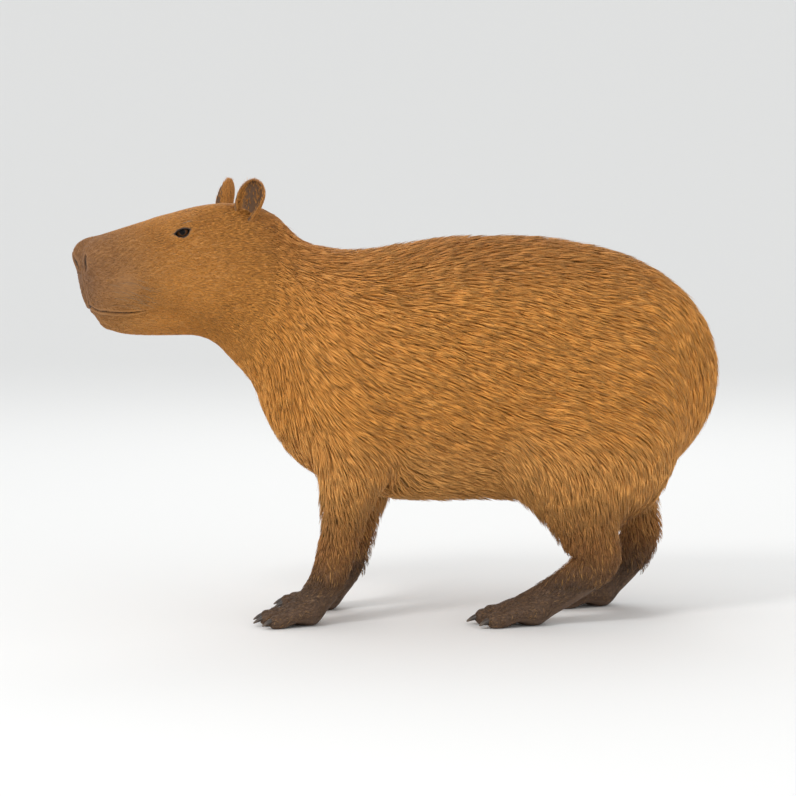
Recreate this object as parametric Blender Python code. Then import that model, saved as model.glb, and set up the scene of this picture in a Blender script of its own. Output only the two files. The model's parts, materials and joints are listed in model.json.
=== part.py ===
"""A capybara, life-size and standing still, as a museum would model it.

Units are metres, +Z is up and the floor is z = 0. The animal looks towards -X, so its left
side is the -Y side, and its head is turned a little to its left. The flesh is one distance
field, built up from rounded masses as a sculptor adds clay. It is sampled on a grid and meshed.
Long locks of hair are fused to it along the way the hair lies, and it is then parted by thin
cuts where a person would name the parts.
"""

import math

import bmesh
import bpy
import numpy as np
import openvdb
from mathutils import Matrix, Vector
from mathutils.bvhtree import BVHTree

# Driving dimensions of a large adult, over the coat
BACK_HEIGHT = 0.650
BELLY_HEIGHT = 0.215
TRUNK_WIDTH = 0.310
HEAD_LENGTH = 0.265
HEAD_CENTRE = (-0.292, -0.012, 0.638)
HEAD_TURN = math.radians(22)
HEAD_DROP = math.radians(9)
EYE_RADIUS = 0.0126
LID = 0.0026
EYE_AT = (0.100, 0.0505, 0.039)
EAR_AT = (-0.014, 0.050, 0.046)
EAR_HEIGHT = 0.062
EAR_HALF_WIDTH = 0.0245
EAR_SPLIT = 0.18
STANCE_FORE = 0.082
STANCE_HIND = 0.100
FAR_FORE_SHIFT = 0.036
GAP = 0.0003

# The coat: long coarse locks that lie over one another along the hair's way
COAT_DEPTH = 0.0110
LOCK_LENGTH = 0.128
LOCK_WIDTH = 0.050
LOCK_THICK = 0.0060
LOCK_ROWS = 0.072
LOCK_SPACING = 0.0400
LOCK_RISE = 0.0185
LOCK_HEIGHTS = (-0.30, 0.19, 0.57, 1.0)
SHORTEST_LOCK = 0.048
SEED = 7

# Grid cells of the distance field, and triangles kept of each mesh
BODY_CELL = 0.0065
FINE_CELL = 0.0030
BODY_TRIANGLES = 1700
HEAD_TRIANGLES = 3000
PAW_TRIANGLES = 380

# Sizes that follow from them
TRUNK_MID = (BACK_HEIGHT + BELLY_HEIGHT) / 2
TRUNK_HALF_DEPTH = (BACK_HEIGHT - BELLY_HEIGHT) / 2
TRUNK_HALF_WIDTH = TRUNK_WIDTH / 2
FORE_SHIFT = {-1: 0.0, 1: FAR_FORE_SHIFT}

# Outline of the head in its own frame: distance forward, top, bottom, half width, narrowing of the top
HEAD_ROWS = (
    (-0.110, 0.020, -0.090, 0.064, 0.10),
    (-0.060, 0.050, -0.114, 0.078, 0.14),
    (-0.010, 0.067, -0.120, 0.083, 0.18),
    (0.045, 0.071, -0.113, 0.082, 0.20),
    (0.100, 0.067, -0.103, 0.074, 0.14),
    (0.150, 0.062, -0.093, 0.066, 0.05),
    (0.200, 0.056, -0.087, 0.0610, -0.02),
    (0.240, 0.051, -0.083, 0.0590, -0.05),
    (0.285, 0.045, -0.078, 0.0570, -0.06),
)
# Lower jaw: distance forward, height, radius
JAW_ROWS = (
    (0.226, -0.082, 0.0225),
    (0.195, -0.089, 0.0280),
    (0.130, -0.096, 0.0340),
    (0.050, -0.100, 0.0420),
)
# Legs: x, share of the stance, z, radius
FORELEG_ROWS = (
    (-0.072, 0.94, 0.345, 0.066),
    (-0.088, 1.00, 0.262, 0.052),
    (-0.106, 1.00, 0.180, 0.0375),
    (-0.119, 1.00, 0.115, 0.0295),
    (-0.134, 1.00, 0.066, 0.0280),
    (-0.166, 1.00, 0.024, 0.0270),
)
NEAR_HINDLEG_ROWS = (
    (0.262, 0.86, 0.300, 0.092),
    (0.282, 0.92, 0.240, 0.076),
    (0.300, 0.97, 0.185, 0.060),
    (0.316, 1.00, 0.140, 0.045),
    (0.324, 1.00, 0.106, 0.0350),
    (0.284, 1.00, 0.070, 0.0300),
    (0.212, 1.00, 0.026, 0.0290),
)
FAR_HINDLEG_ROWS = (
    (0.300, 0.86, 0.310, 0.092),
    (0.348, 0.92, 0.248, 0.074),
    (0.392, 0.97, 0.200, 0.056),
    (0.414, 1.00, 0.165, 0.043),
    (0.424, 1.00, 0.134, 0.0345),
    (0.404, 1.00, 0.084, 0.0300),
    (0.350, 1.00, 0.026, 0.0290),
)


def head_axes():
    """Columns forward, side (to the animal's left) and up of the head's own frame."""
    turn = Matrix.Rotation(HEAD_TURN, 3, "Z")
    forward = turn @ Vector((-math.cos(HEAD_DROP), 0, -math.sin(HEAD_DROP)))
    side = turn @ Vector((0, -1, 0))
    return np.array([forward, side, forward.cross(side)]).T


HEAD_AXES = head_axes()


def from_head(forward, side, up):
    """A point given in the head's own frame, in the animal's frame."""
    return Vector(HEAD_CENTRE) + Vector(HEAD_AXES @ np.array((forward, side, up)))


# Planes that part the nodes: a point and a direction

NECK_PLANE = (from_head(-0.055, 0, 0.060), Vector(HEAD_AXES @ np.array((0.933, 0, 0.36))))
SHOULDER_PLANE = ((-0.150, 0, 0.470), Vector((0.92, 0, -0.34)))
LOIN_PLANE = ((0.235, 0, 0.4), Vector((1, 0, -0.10)))
WRIST_HEIGHT = 0.062
ANKLE_PLANES = {-1: ((0.290, 0, 0.076), Vector((0.84, 0, 0.54))), 1: ((0.402, 0, 0.084), Vector((0.55, 0, 0.84)))}


# Distance fields


def lump(p, centre, radii):
    """Distance to an ellipsoid, exact on its surface and close to it."""
    q = [p[i] - centre[i] for i in range(3)]
    near = np.sqrt(sum((q[i] / radii[i]) ** 2 for i in range(3)))
    slope = np.sqrt(sum((q[i] / radii[i] ** 2) ** 2 for i in range(3)))
    return near * (near - 1) / np.maximum(slope, 1e-6)


def to_bar(p, start, end, wide):
    """Distance to the line between two rows of x, y, z, radius, and the radius at the nearest point of it."""
    a, d = np.array(start[:3], float), np.array(end[:3], float) - np.array(start[:3], float)
    q = [p[i] - a[i] for i in range(3)]
    t = np.clip(sum(q[i] * d[i] for i in range(3)) / float(d @ d), 0, 1)
    off = [q[i] - t * d[i] for i in range(3)]
    off[1] = off[1] / wide
    return np.sqrt(sum(v * v for v in off)), start[3] + t * (end[3] - start[3])


def limb(p, start, end, wide=1.0):
    """Distance to a tapered round bar; wide stretches it along Y."""
    far, radius = to_bar(p, start, end, wide)
    return far - radius


def resampled(rows, steps):
    """A smooth curve through the rows: a cubic between each two, with steps points to each."""
    rows = np.array(rows, float)
    slopes = np.gradient(rows, axis=0)
    t = np.linspace(0, 1, steps, endpoint=False)[:, None]
    parts = []
    for a, b, m, n in zip(rows, rows[1:], slopes, slopes[1:]):
        ends = (2 * t**3 - 3 * t**2 + 1) * a + (3 * t**2 - 2 * t**3) * b
        parts.append(ends + (t**3 - 2 * t**2 + t) * m + (t**3 - t**2) * n)
    return np.vstack(parts + [rows[-1:]])


def tube(p, rows, wide=1.0, steps=4):
    """Distance to a bar that follows a smooth curve through rows of x, y, z, radius."""
    rows = resampled(rows, steps)
    near, radius = to_bar(p, rows[0], rows[1], wide)
    for a, b in zip(rows[1:], rows[2:]):
        far, r = to_bar(p, a, b, wide)
        radius = np.where(far < near, r, radius)
        near = np.minimum(far, near)
    return near - radius


def joined(a, b, soft):
    """Union of two distances, with a fillet of about the size soft."""
    h = np.clip(0.5 + 0.5 * (b - a) / soft, 0, 1)
    return b + (a - b) * h - soft * h * (1 - h)


def common(a, b, soft):
    """What two distances share, with the edge between them rounded."""
    return -joined(-a, -b, soft)


# The flesh


def trunk_field(p):
    """Ribs, belly, loin and rump, the breast in front, shoulders and thighs."""
    w = TRUNK_HALF_WIDTH
    deep = TRUNK_HALF_DEPTH
    field = lump(p, (0.000, 0, TRUNK_MID - 0.016), (0.225, 0.92 * w, deep - 0.016))
    field = joined(field, lump(p, (0.150, 0, TRUNK_MID), (0.260, 0.98 * w, deep - 0.003)), 0.08)
    field = joined(field, lump(p, (0.287, 0, TRUNK_MID - 0.014), (0.251, 0.93 * w, deep - 0.006)), 0.06)
    field = joined(field, lump(p, (-0.105, 0, 0.405), (0.115, 0.092, 0.130)), 0.06)
    for side in (-1, 1):
        field = joined(field, lump(p, (-0.085, side * 0.080, 0.400), (0.085, 0.060, 0.165)), 0.04)
        field = joined(field, lump(p, (0.325, side * 0.086, 0.335), (0.140, 0.070, 0.165)), 0.04)
    return field


def neck_field(p):
    """A short thick neck, from behind the jaws and ears down into the shoulders."""
    x, y, z = HEAD_CENTRE
    nape = limb(p, (x + 0.025, y * 0.5, z - 0.048, 0.088), (-0.01, 0, 0.440, 0.145), 1.08)
    throat = limb(p, (x + 0.025, y * 0.5, z - 0.095, 0.078), (-0.10, 0, 0.37, 0.105), 1.05)
    return joined(nape, throat, 0.05)


def skull_field(h):
    """Skull and upper jaw, from the outline rows, with a flat nose in front. Sides are given as positive."""
    forward, side, up = h
    rows = resampled(HEAD_ROWS, 12)
    top, bottom, wide, narrow = [np.interp(forward, rows[:, 0], rows[:, i]) for i in range(1, 5)]
    v = (up - (top + bottom) / 2) / ((top - bottom) / 2)
    wide = wide * (1 - narrow * np.clip(v, -1.3, 1.3))
    power = 2.7
    q = [side / wide, np.abs(v)]
    size = [wide, (top - bottom) / 2]
    near = np.maximum(q[0] ** power + q[1] ** power, 1e-9) ** (1 / power)
    slope = np.sqrt(sum(((q[i] / near) ** (power - 1) / size[i]) ** 2 for i in range(2)))
    body = (near - 1) / np.maximum(slope, 1e-6)
    front = forward - (HEAD_LENGTH - 1.3 * (up + 0.010) ** 2 - 1.8 * side**2)
    field = common(body, front, 0.030)
    return common(field, -forward - 0.105, 0.03)


def head_field(p):
    """The whole head: skull, lower jaw, cheeks, brows and the swellings round the nostrils."""
    q = [p[i] - HEAD_CENTRE[i] for i in range(3)]
    forward, side, up = [sum(HEAD_AXES[j][i] * q[j] for j in range(3)) for i in range(3)]
    h = (forward, np.abs(side), up)
    field = skull_field(h)
    jaw = tube(h, [(f, 0, u, r) for f, u, r in JAW_ROWS], 1.25)
    field = joined(field, jaw, 0.012)
    field = joined(field, lump(h, (0.045, 0.048, -0.056), (0.075, 0.036, 0.058)), 0.02)
    field = joined(field, lump(h, (0.240, 0.030, 0.026), (0.022, 0.020, 0.018)), 0.02)
    field = joined(field, lump(h, (0.098, 0.044, 0.048), (0.032, 0.016, 0.012)), 0.02)
    return joined(field, lump(h, EYE_AT, [EYE_RADIUS + LID] * 3), 0.008)


def foreleg_rows(side):
    shift = FORE_SHIFT[side]
    return [(x + shift, side * STANCE_FORE * share, z, r) for x, share, z, r in FORELEG_ROWS]


def hindleg_rows(side):
    rows = NEAR_HINDLEG_ROWS if side < 0 else FAR_HINDLEG_ROWS
    return [(x, side * STANCE_HIND * share, z, r) for x, share, z, r in rows]


def toe_rows(ball, count, spread, reach, radius, width):
    """Each toe as rows of x, y, z, radius: root in the foot, knuckle, pad on the floor."""
    toes = []
    for i in range(count):
        share = i / (count - 1) - 0.5
        length = reach * (1 - 0.45 * abs(share) ** 1.5)
        angle = spread * share
        ahead, across = -math.cos(angle), math.sin(angle)
        x, y = ball[0] + 0.006, ball[1] + width * share
        toes.append([
            (x, y, 0.024, radius * 1.35),
            (x + 0.45 * length * ahead, y + 0.45 * length * across, radius * 1.75, radius * 1.12),
            (x + 0.78 * length * ahead, y + 0.78 * length * across, radius * 1.05, radius * 1.02),
            (x + length * ahead, y + length * across, radius * 0.90, radius * 1.00),
        ])
    return toes


def fore_toes(side):
    return toe_rows(foreleg_rows(side)[-1], 4, math.radians(44), 0.074, 0.0118, 0.044)


def hind_toes(side):
    return toe_rows(hindleg_rows(side)[-1], 3, math.radians(32), 0.086, 0.0140, 0.040)


def leg_field(p, rows, toes, wide):
    field = tube(p, rows, wide)
    foot = tube(p, toes[0], 1.0, 2)
    for toe in toes[1:]:
        foot = joined(foot, tube(p, toe, 1.0, 2), 0.010)
    return joined(field, foot, 0.016)


def foreleg_field(p, side):
    return leg_field(p, foreleg_rows(side), fore_toes(side), 1.0)


def hindleg_field(p, side):
    return leg_field(p, hindleg_rows(side), hind_toes(side), 0.86)


def upper_field(p):
    """Head, neck and trunk, without the legs."""
    field = joined(trunk_field(p), neck_field(p), 0.05)
    return joined(field, head_field(p), 0.035)


def ramp(x, low, high):
    """Smooth step from 0 at low to 1 at high."""
    t = np.clip((x - low) / (high - low), 0, 1)
    return t * t * (3 - 2 * t)


def behind_head(p):
    """Distance behind the plane that parts head and neck."""
    return -sum((p[i] - NECK_PLANE[0][i]) * NECK_PLANE[1][i] for i in range(3))


def coat_share(p):
    """Where the long coat grows: 1 on trunk, neck and upper legs, falling to 0 at head and feet."""
    return ramp(behind_head(p), 0.0, 0.07) * ramp(p[2], 0.10, 0.19)


def body_field(p):
    """The whole animal; under the long coat the surface lies lower by the coat's depth."""
    field = upper_field(p)
    for side in (-1, 1):
        field = joined(field, foreleg_field(p, side), 0.035)
        field = joined(field, hindleg_field(p, side), 0.045)
    return field + COAT_DEPTH * coat_share(p)


def meshed(field, low, high, cell):
    """The zero surface of a distance field, closed at the sides of the box, as points and quads."""
    axes = [np.arange(low[i], high[i] + cell, cell, dtype=np.float32) for i in range(3)]
    p = np.meshgrid(*axes, indexing="ij")
    values = np.full(p[0].shape, cell, np.float32)
    values[1:-1, 1:-1, 1:-1] = field([v[1:-1, 1:-1, 1:-1] for v in p])
    grid = openvdb.FloatGrid(cell)
    grid.copyFromArray(values)
    points, _, quads = grid.convertToPolygons(0.0)
    return points * cell + np.array(low), quads


def mesh_object(name, points, faces):
    mesh = bpy.data.meshes.new(name)
    mesh.from_pydata([tuple(float(c) for c in v) for v in points], [], [tuple(int(i) for i in f) for f in faces])
    obj = bpy.data.objects.new(name, mesh)
    bpy.context.scene.collection.objects.link(obj)
    return obj


def applied(obj):
    """Replaces the object's mesh with what its modifiers make of it."""
    graph = bpy.context.evaluated_depsgraph_get()
    mesh = bpy.data.meshes.new_from_object(obj.evaluated_get(graph))
    obj.modifiers.clear()
    obj.data = mesh
    return obj


def thinned(obj, triangles):
    """Collapses edges where the surface is flattest, down to about this many triangles."""
    obj.data.calc_loop_triangles()
    modifier = obj.modifiers.new("thin", "DECIMATE")
    modifier.ratio = triangles / len(obj.data.loop_triangles)
    modifier.use_collapse_triangulate = True
    return applied(obj)


def cut(obj, others, operation):
    """Cuts the others from this object, joins them to it or keeps what they share, and removes them."""
    group = bpy.data.collections.new("operands")
    bpy.context.scene.collection.children.link(group)
    for other in others:
        bpy.context.scene.collection.objects.unlink(other)
        group.objects.link(other)
    modifier = obj.modifiers.new("cut", "BOOLEAN")
    modifier.operation = operation
    modifier.solver = "EXACT"
    modifier.operand_type = "COLLECTION"
    modifier.collection = group
    applied(obj)
    for other in others:
        bpy.data.objects.remove(other)
    bpy.data.collections.remove(group)
    return obj


def copy_of(obj, name):
    twin = bpy.data.objects.new(name, obj.data.copy())
    bpy.context.scene.collection.objects.link(twin)
    return twin


def largest(obj):
    """Keeps only the closed surface with the most faces, merges points that touch and leaves triangles."""
    work = bmesh.new()
    work.from_mesh(obj.data)
    bmesh.ops.remove_doubles(work, verts=work.verts, dist=0.000002)
    groups = []
    left = set(work.faces)
    while left:
        seed = left.pop()
        group, todo = {seed}, [seed]
        while todo:
            for edge in todo.pop().edges:
                for face in edge.link_faces:
                    if face in left:
                        left.discard(face)
                        group.add(face)
                        todo.append(face)
        groups.append(group)
    keep = max(groups, key=lambda g: sum(f.calc_area() for f in g))
    spare = [f for g in groups if g is not keep for f in g]
    bmesh.ops.delete(work, geom=spare, context="FACES")
    loose = [v for v in work.verts if not v.link_faces]
    bmesh.ops.delete(work, geom=loose, context="VERTS")
    bmesh.ops.triangulate(work, faces=work.faces)
    work.to_mesh(obj.data)
    work.free()
    return obj


# Cutting tools

BOX_FACES = ((0, 3, 2, 1), (4, 5, 6, 7), (0, 1, 5, 4), (1, 2, 6, 5), (2, 3, 7, 6), (3, 0, 4, 7))


def parted(obj, point, normal, keep_off):
    """Removes what lies past a plane on the side of its normal, stops keep_off short of it and closes the cut."""
    normal = Vector(normal).normalized()
    work = bmesh.new()
    work.from_mesh(obj.data)
    everything = work.verts[:] + work.edges[:] + work.faces[:]
    at = Vector(point) - normal * keep_off
    bmesh.ops.bisect_plane(work, geom=everything, dist=0.00002, plane_co=at, plane_no=normal, clear_outer=True)
    rim = [e for e in work.edges if len(e.link_faces) == 1]
    bmesh.ops.holes_fill(work, edges=rim, sides=0)
    bmesh.ops.triangulate(work, faces=work.faces)
    work.to_mesh(obj.data)
    work.free()
    return obj


def half_space(point, normal, start):
    """A block that fills the side of a plane the normal points to, from start metres past the plane."""
    n = Vector(normal).normalized()
    a = n.orthogonal().normalized()
    b = n.cross(a)
    corners = []
    for along in (start, 1.6):
        for sa, sb in ((-1, -1), (1, -1), (1, 1), (-1, 1)):
            corners.append(Vector(point) + n * along + a * sa + b * sb)
    return mesh_object("half", corners, BOX_FACES)


def box_top(spec, x, y):
    """Height of a leg block's sloping top, y being the distance from the middle plane."""
    return spec["height"] + spec["back"] * (x - spec["mid"][0]) + spec["out"] * (y - spec["mid"][1])


def leg_box(spec, side, grow):
    """A block round one leg; its top slopes back and out, and grow moves its inner faces outward."""
    x0, x1, inner = spec["x"][0] - grow, spec["x"][1] + grow, spec["inner"] - grow
    ring = ((x0, inner), (x1, inner), (x1, 0.26), (x0, 0.26))
    points = [(x, side * y, -0.05) for x, y in ring]
    points += [(x, side * y, box_top(spec, x, y) + grow * 1.2) for x, y in ring]
    faces = BOX_FACES if side > 0 else [f[::-1] for f in BOX_FACES]
    return mesh_object("leg_box", points, faces)


FORE_BOX = {"x": (-0.30, 0.04), "inner": 0.022, "mid": (-0.090, 0.082), "height": 0.262, "back": -0.42, "out": 0.45}
HIND_BOX = {"x": (0.13, 0.52), "inner": 0.018, "mid": (0.290, 0.090), "height": 0.235, "back": 0.25, "out": 0.50}


def box_of(kind, side):
    """The block's sizes for one leg, moved back with the leg of the far side."""
    spec = dict(FORE_BOX if kind == "fore" else HIND_BOX)
    shift = FORE_SHIFT[side] if kind == "fore" else (0.055 if side > 0 else 0.0)
    spec["x"] = (spec["x"][0] + shift, spec["x"][1] + shift)
    spec["mid"] = (spec["mid"][0] + shift, spec["mid"][1])
    return spec


def ball(name, centre, radius, rings=10, segments=16):
    work = bmesh.new()
    bmesh.ops.create_uvsphere(work, u_segments=segments, v_segments=rings, radius=radius)
    bmesh.ops.translate(work, verts=work.verts, vec=centre)
    mesh = bpy.data.meshes.new(name)
    work.to_mesh(mesh)
    work.free()
    obj = bpy.data.objects.new(name, mesh)
    bpy.context.scene.collection.objects.link(obj)
    return obj


def fan(points, ring):
    """Faces from a new middle point to each edge of a ring."""
    points.append(sum((points[i] for i in ring), Vector()) / len(ring))
    return [(len(points) - 1, i, j) for i, j in zip(ring, ring[1:] + ring[:1])]


def ladder(ring):
    """Faces across a ring whose second half runs back along its first, as a bent strip's end does."""
    last = len(ring) - 1
    return [(ring[k], ring[k + 1], ring[last - k - 1], ring[last - k]) for k in range(len(ring) // 2 - 1)]


def lofted(name, rings, strip=False):
    """A closed skin over rings of points; strip closes ends that are bent strips."""
    count = len(rings[0])
    points = [Vector(v) for ring in rings for v in ring]
    faces = []
    for r in range(len(rings) - 1):
        for i in range(count):
            a, b = r * count + i, r * count + (i + 1) % count
            faces.append((a, b, b + count, a + count))
    for ring in (list(range(count)), list(range(len(points) - count, len(points)))):
        faces += ladder(ring) if strip else fan(points, ring)
    obj = mesh_object(name, points, faces)
    work = bmesh.new()
    work.from_mesh(obj.data)
    bmesh.ops.recalc_face_normals(work, faces=work.faces)
    work.to_mesh(obj.data)
    work.free()
    return obj


def swept(name, path, radii, sides=6, flat=1.0):
    """A rod along the path with its own radius at each point, squeezed to flat of it upward."""
    path = [Vector(v) for v in path]
    rings = []
    for i, at in enumerate(path):
        along = (path[min(i + 1, len(path) - 1)] - path[max(i - 1, 0)]).normalized()
        across = along.cross(Vector((0, 0, 1))).normalized()
        up = across.cross(along)
        ring = []
        for k in range(sides):
            angle = 2 * math.pi * (k + 0.5) / sides
            ring.append(at + radii[i] * (math.cos(angle) * across + flat * math.sin(angle) * up))
        rings.append(ring)
    return lofted(name, rings)


# The long coat


def lie(p):
    """The way the hair lies: back along the trunk, down the neck, the breast, the rump and the legs."""
    x, z = p.x, p.z
    back = Vector((1, 0, -0.10 - 0.35 * ramp(abs(p.y), 0.06, 0.15)))
    neck = Vector((0.75, 0, -0.55))
    breast = Vector((0.35, 0, -1.0))
    rump = Vector((0.25, 0, -1.0))
    leg = Vector((0.12, 0, -1.0))
    way = back.lerp(rump, float(ramp(x, 0.36, 0.50)))
    way = way.lerp(neck, float(1 - ramp(x, -0.16, 0.02)))
    way = way.lerp(breast, float((1 - ramp(x + 0.45 * (z - 0.30), -0.20, -0.06))) * float(1 - ramp(z, 0.42, 0.60)))
    flank = ramp(x, -0.03, 0.04) * (1 - ramp(x, 0.15, 0.22))
    return way.lerp(leg, float((1 - ramp(z, 0.235, 0.36)) * ramp(abs(p.y), 0.03, 0.06) * (1 - flank)))


def on_skin(tree, p):
    """Nearest point of the body's surface, its outward direction and the hair's way along it."""
    at, normal, _, _ = tree.find_nearest(p)
    way = lie(at)
    return at, normal, (way - normal * way.dot(normal)).normalized()


def lock_roots(tree, mesh, random):
    """Roots spread evenly over the coat, further apart along the hair than across it."""
    middles = [f.center.copy() for f in mesh.polygons]
    order = random.permutation(len(middles))
    kept, places, ways, across = [], [], [], []
    for i in order:
        p = middles[i]
        if coat_share(p) < 0.75:
            continue
        if p.z < 0.235 and abs(p.y) < 0.05 and p.x > -0.12:
            continue
        at, normal, way = on_skin(tree, p)
        side = normal.cross(way)
        if kept:
            d = np.array(places) - np.array(at)
            along = (d * np.array(ways)).sum(1) / LOCK_ROWS
            beside = (d * np.array(across)).sum(1) / LOCK_SPACING
            off = d - (d * np.array(ways)).sum(1)[:, None] * np.array(ways)
            off = off - (d * np.array(across)).sum(1)[:, None] * np.array(across)
            if (along**2 + beside**2 + (off**2).sum(1) / LOCK_SPACING**2).min() < 1.0:
                continue
        kept.append(at)
        places.append(tuple(at))
        ways.append(tuple(way))
        across.append(tuple(side))
    return kept


def lock_line(tree, root, length, rise, swing):
    """Middle points, outward and sideways directions along a lock; none where the skin turns too sharply."""
    at, normal, way = on_skin(tree, root)
    line = []
    for high, reach in zip(LOCK_HEIGHTS, (0.36, 0.34, 0.30, 0.0)):
        line.append((at + normal * high * rise, normal, normal.cross(way)))
        before = (normal, way)
        at, normal, way = on_skin(tree, at + (way + line[-1][2] * swing) * length * reach)
        if normal.dot(before[0]) < 0.80 or way.dot(before[1]) < 0.75:
            return None
    return line


def region(p):
    """A number for the node that a point of the coat belongs to."""
    side = -1 if p.y < 0 else 1
    for number, kind in enumerate(("fore", "hind")):
        spec = box_of(kind, side)
        x0, x1 = spec["x"]
        if x0 < p.x < x1 and abs(p.y) > spec["inner"] and p.z < box_top(spec, p.x, abs(p.y)):
            return side * (10 + number)
    past = [(p - Vector(point)).dot(normal) > 0 for point, normal in (NECK_PLANE, SHOULDER_PLANE, LOIN_PLANE)]
    return 3 if past[0] else past[1] + past[2]


def crossing(line):
    """How far along a lock, from 0 to 1, it first passes into another node; 2 where it stays in one."""
    middles = np.array([list(row[0]) for row in line])
    first = region(line[0][0])
    for share in np.linspace(0.04, 1.0, 25):
        if region(Vector([np.interp(share, (0, 0.36, 0.70, 1.0), middles[:, i]) for i in range(3)])) != first:
            return share
    return 2.0


def fitted_line(tree, root, length, rise, swing):
    """The line of a lock, shortened or moved so that no cut between nodes parts its tip from its root."""
    line = lock_line(tree, root, length, rise, swing)
    share = crossing(line) if line else 2.0
    if share < 0.24 or share > 1.0:
        return line
    for less in (0.07, 0.16, 0.26):
        short = length * (share - less)
        line = lock_line(tree, root, short, rise * max(0.7, share - less), swing) if short > SHORTEST_LOCK else None
        if line and crossing(line) > 1.0:
            return line
    at, _, way = on_skin(tree, root)
    line = lock_line(tree, at + way * length * (share - 0.12), length, rise, swing)
    return line if line and not 0.26 < crossing(line) <= 1.0 else None


def lock_rings(line, width, thick):
    """Rings of left, under, right and top along one lock."""
    rings = []
    for (middle, normal, side), wide, deep in zip(line, (0.72, 1.0, 0.60), (1.0, 1.0, 0.7)):
        half = side * width * wide / 2
        top, under = normal * thick * deep * 0.75, normal * thick * deep * 0.25
        rings.append([middle - half, middle - under, middle + half, middle + top])
    return rings


def apart(one, other):
    """Whether the boxes round two sets of points are clear of each other."""
    return bool((one.min(0) > other.max(0)).any() or (other.min(0) > one.max(0)).any())


def in_rounds(locks):
    """Deals the locks into rounds in which none reaches another's box."""
    rounds = []
    for points, obj in locks:
        for members in rounds:
            if all(apart(points, other) for other, _ in members):
                members.append((points, obj))
                break
        else:
            rounds.append([(points, obj)])
    return rounds


def add_locks(body):
    """Joins every lock to the body, as one closed surface."""
    random = np.random.default_rng(SEED)
    tree = BVHTree.FromObject(body, bpy.context.evaluated_depsgraph_get())
    locks = []
    for root in lock_roots(tree, body.data, random):
        size = random.uniform(0.85, 1.12)
        small = 0.62 if root.z < 0.26 else 0.80 if behind_head(root) < 0.10 else 1.0
        length = LOCK_LENGTH * size * small
        rise = LOCK_RISE * random.uniform(0.8, 1.1) * (0.5 + 0.5 * small)
        width = LOCK_WIDTH * random.uniform(0.85, 1.1) * (0.4 + 0.6 * small)
        line = fitted_line(tree, root, length, rise, random.normal(0, 0.10))
        if line is None or line[-1][0].z < 0.10:
            continue
        rings, tip = lock_rings(line, width, LOCK_THICK), line[-1][0]
        points = np.array([v for ring in rings for v in ring] + [tip])
        locks.append((points, lock_mesh(rings, tip)))
    for members in in_rounds(locks):
        cut(body, [obj for _, obj in members], "UNION")
    return body


def lock_mesh(rings, tip):
    """A flat lock; its upper and under faces are split into triangles alike, so that they can't cross."""
    points = [v for ring in rings for v in ring] + [tip]
    faces = [(0, 2, 1), (0, 3, 2)]
    for a in range(0, 4 * (len(rings) - 1), 4):
        for i, j in ((0, 1), (1, 2)):
            faces += [(a + i, a + j, a + j + 4), (a + i, a + j + 4, a + i + 4)]
        for i, j in ((2, 3), (3, 0)):
            faces += [(a + i, a + j, a + i + 4), (a + j, a + j + 4, a + i + 4)]
    end = 4 * (len(rings) - 1)
    faces += [(end + i, end + (i + 1) % 4, len(points) - 1) for i in range(4)]
    return mesh_object("lock", points, faces)


# Features of the head


def ear_rings(side, start, stop, count):
    """Rings of the ear cup from start to stop of its height; the cup opens forward and outward."""
    base = from_head(EAR_AT[0], side * EAR_AT[1], EAR_AT[2])
    axes = Matrix([list(row) for row in HEAD_AXES])
    axis = (axes @ Vector((-0.30, 0.34 * side, 1.0))).normalized()
    face = axes @ Vector((0.80, 0.60 * side, 0.0))
    face = (face - axis * face.dot(axis)).normalized()
    across = axis.cross(face)
    rings = []
    for t in np.linspace(start, stop, count):
        width = EAR_HALF_WIDTH * (0.78 + 0.22 * math.sin(math.pi * min(max(t, 0), 0.60) / 1.20))
        width *= math.sqrt(max(0.0, 1 - max(0.0, (t - 0.52) / 0.49) ** 2.4))
        deep = (0.72 - 0.22 * t) * width
        skin = min(0.0042 - 0.0016 * t, 0.42 * width) + 0.010 * max(0.0, 0.30 - t)
        middle = base + axis * EAR_HEIGHT * t - face * 0.012 * t * t
        reach = math.radians(125 - 45 * t)
        ring = []
        for k in range(9):
            a = reach * (k / 4 - 1)
            ring.append(middle + across * width * math.sin(a) - face * deep * math.cos(a))
        for k in range(9):
            a = reach * (1 - k / 4) * 0.96
            ring.append(middle + across * (width - skin) * math.sin(a) - face * ((deep - skin) * math.cos(a)))
        rings.append(ring)
    return rings


def add_ears(head):
    """The root of each ear becomes part of the head; the cup above it is a node of its own."""
    roots, ears = [], {}
    for name, side in (("ear_left", 1), ("ear_right", -1)):
        roots.append(lofted("root", ear_rings(side, -0.32, EAR_SPLIT, 4), strip=True))
        ears[name] = lofted(name, ear_rings(side, EAR_SPLIT + GAP / EAR_HEIGHT, 0.995, 8), strip=True)
    cut(head, roots, "UNION")
    return ears


def eye_centre(side):
    return from_head(EYE_AT[0], side * EYE_AT[1], EYE_AT[2])


def lid_opening(side):
    """A wedge through the lids: straight above, curved below, as of an animal half asleep."""
    centre = Vector((EYE_AT[0], side * EYE_AT[1], EYE_AT[2]))
    out = Vector((0.30, side * 0.92, 0.16)).normalized()
    along = Vector((1, 0, -0.10))
    along = (along - out * along.dot(out)).normalized()
    up = Vector((0, 0, 1))
    up = (up - out * up.dot(out) - along * up.dot(along)).normalized()
    outline = []
    for k in range(9):
        a = math.pi * k / 8
        outline.append((-math.cos(a) * 1.02, -0.70 * math.sin(a) ** 0.85 - 0.02))
    for k in range(1, 6):
        x = 1.02 - 2.04 * k / 6
        outline.append((x, 0.30 * (1 - x * x)))
    rings = []
    for depth, size in ((0.25, 0.84), (1.9, 1.10)):
        ring = []
        for x, y in outline:
            at = centre + EYE_RADIUS * (out * depth + size * (along * x + up * y))
            ring.append(from_head(*at))
        rings.append(ring)
    return lofted("opening", rings)


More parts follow.
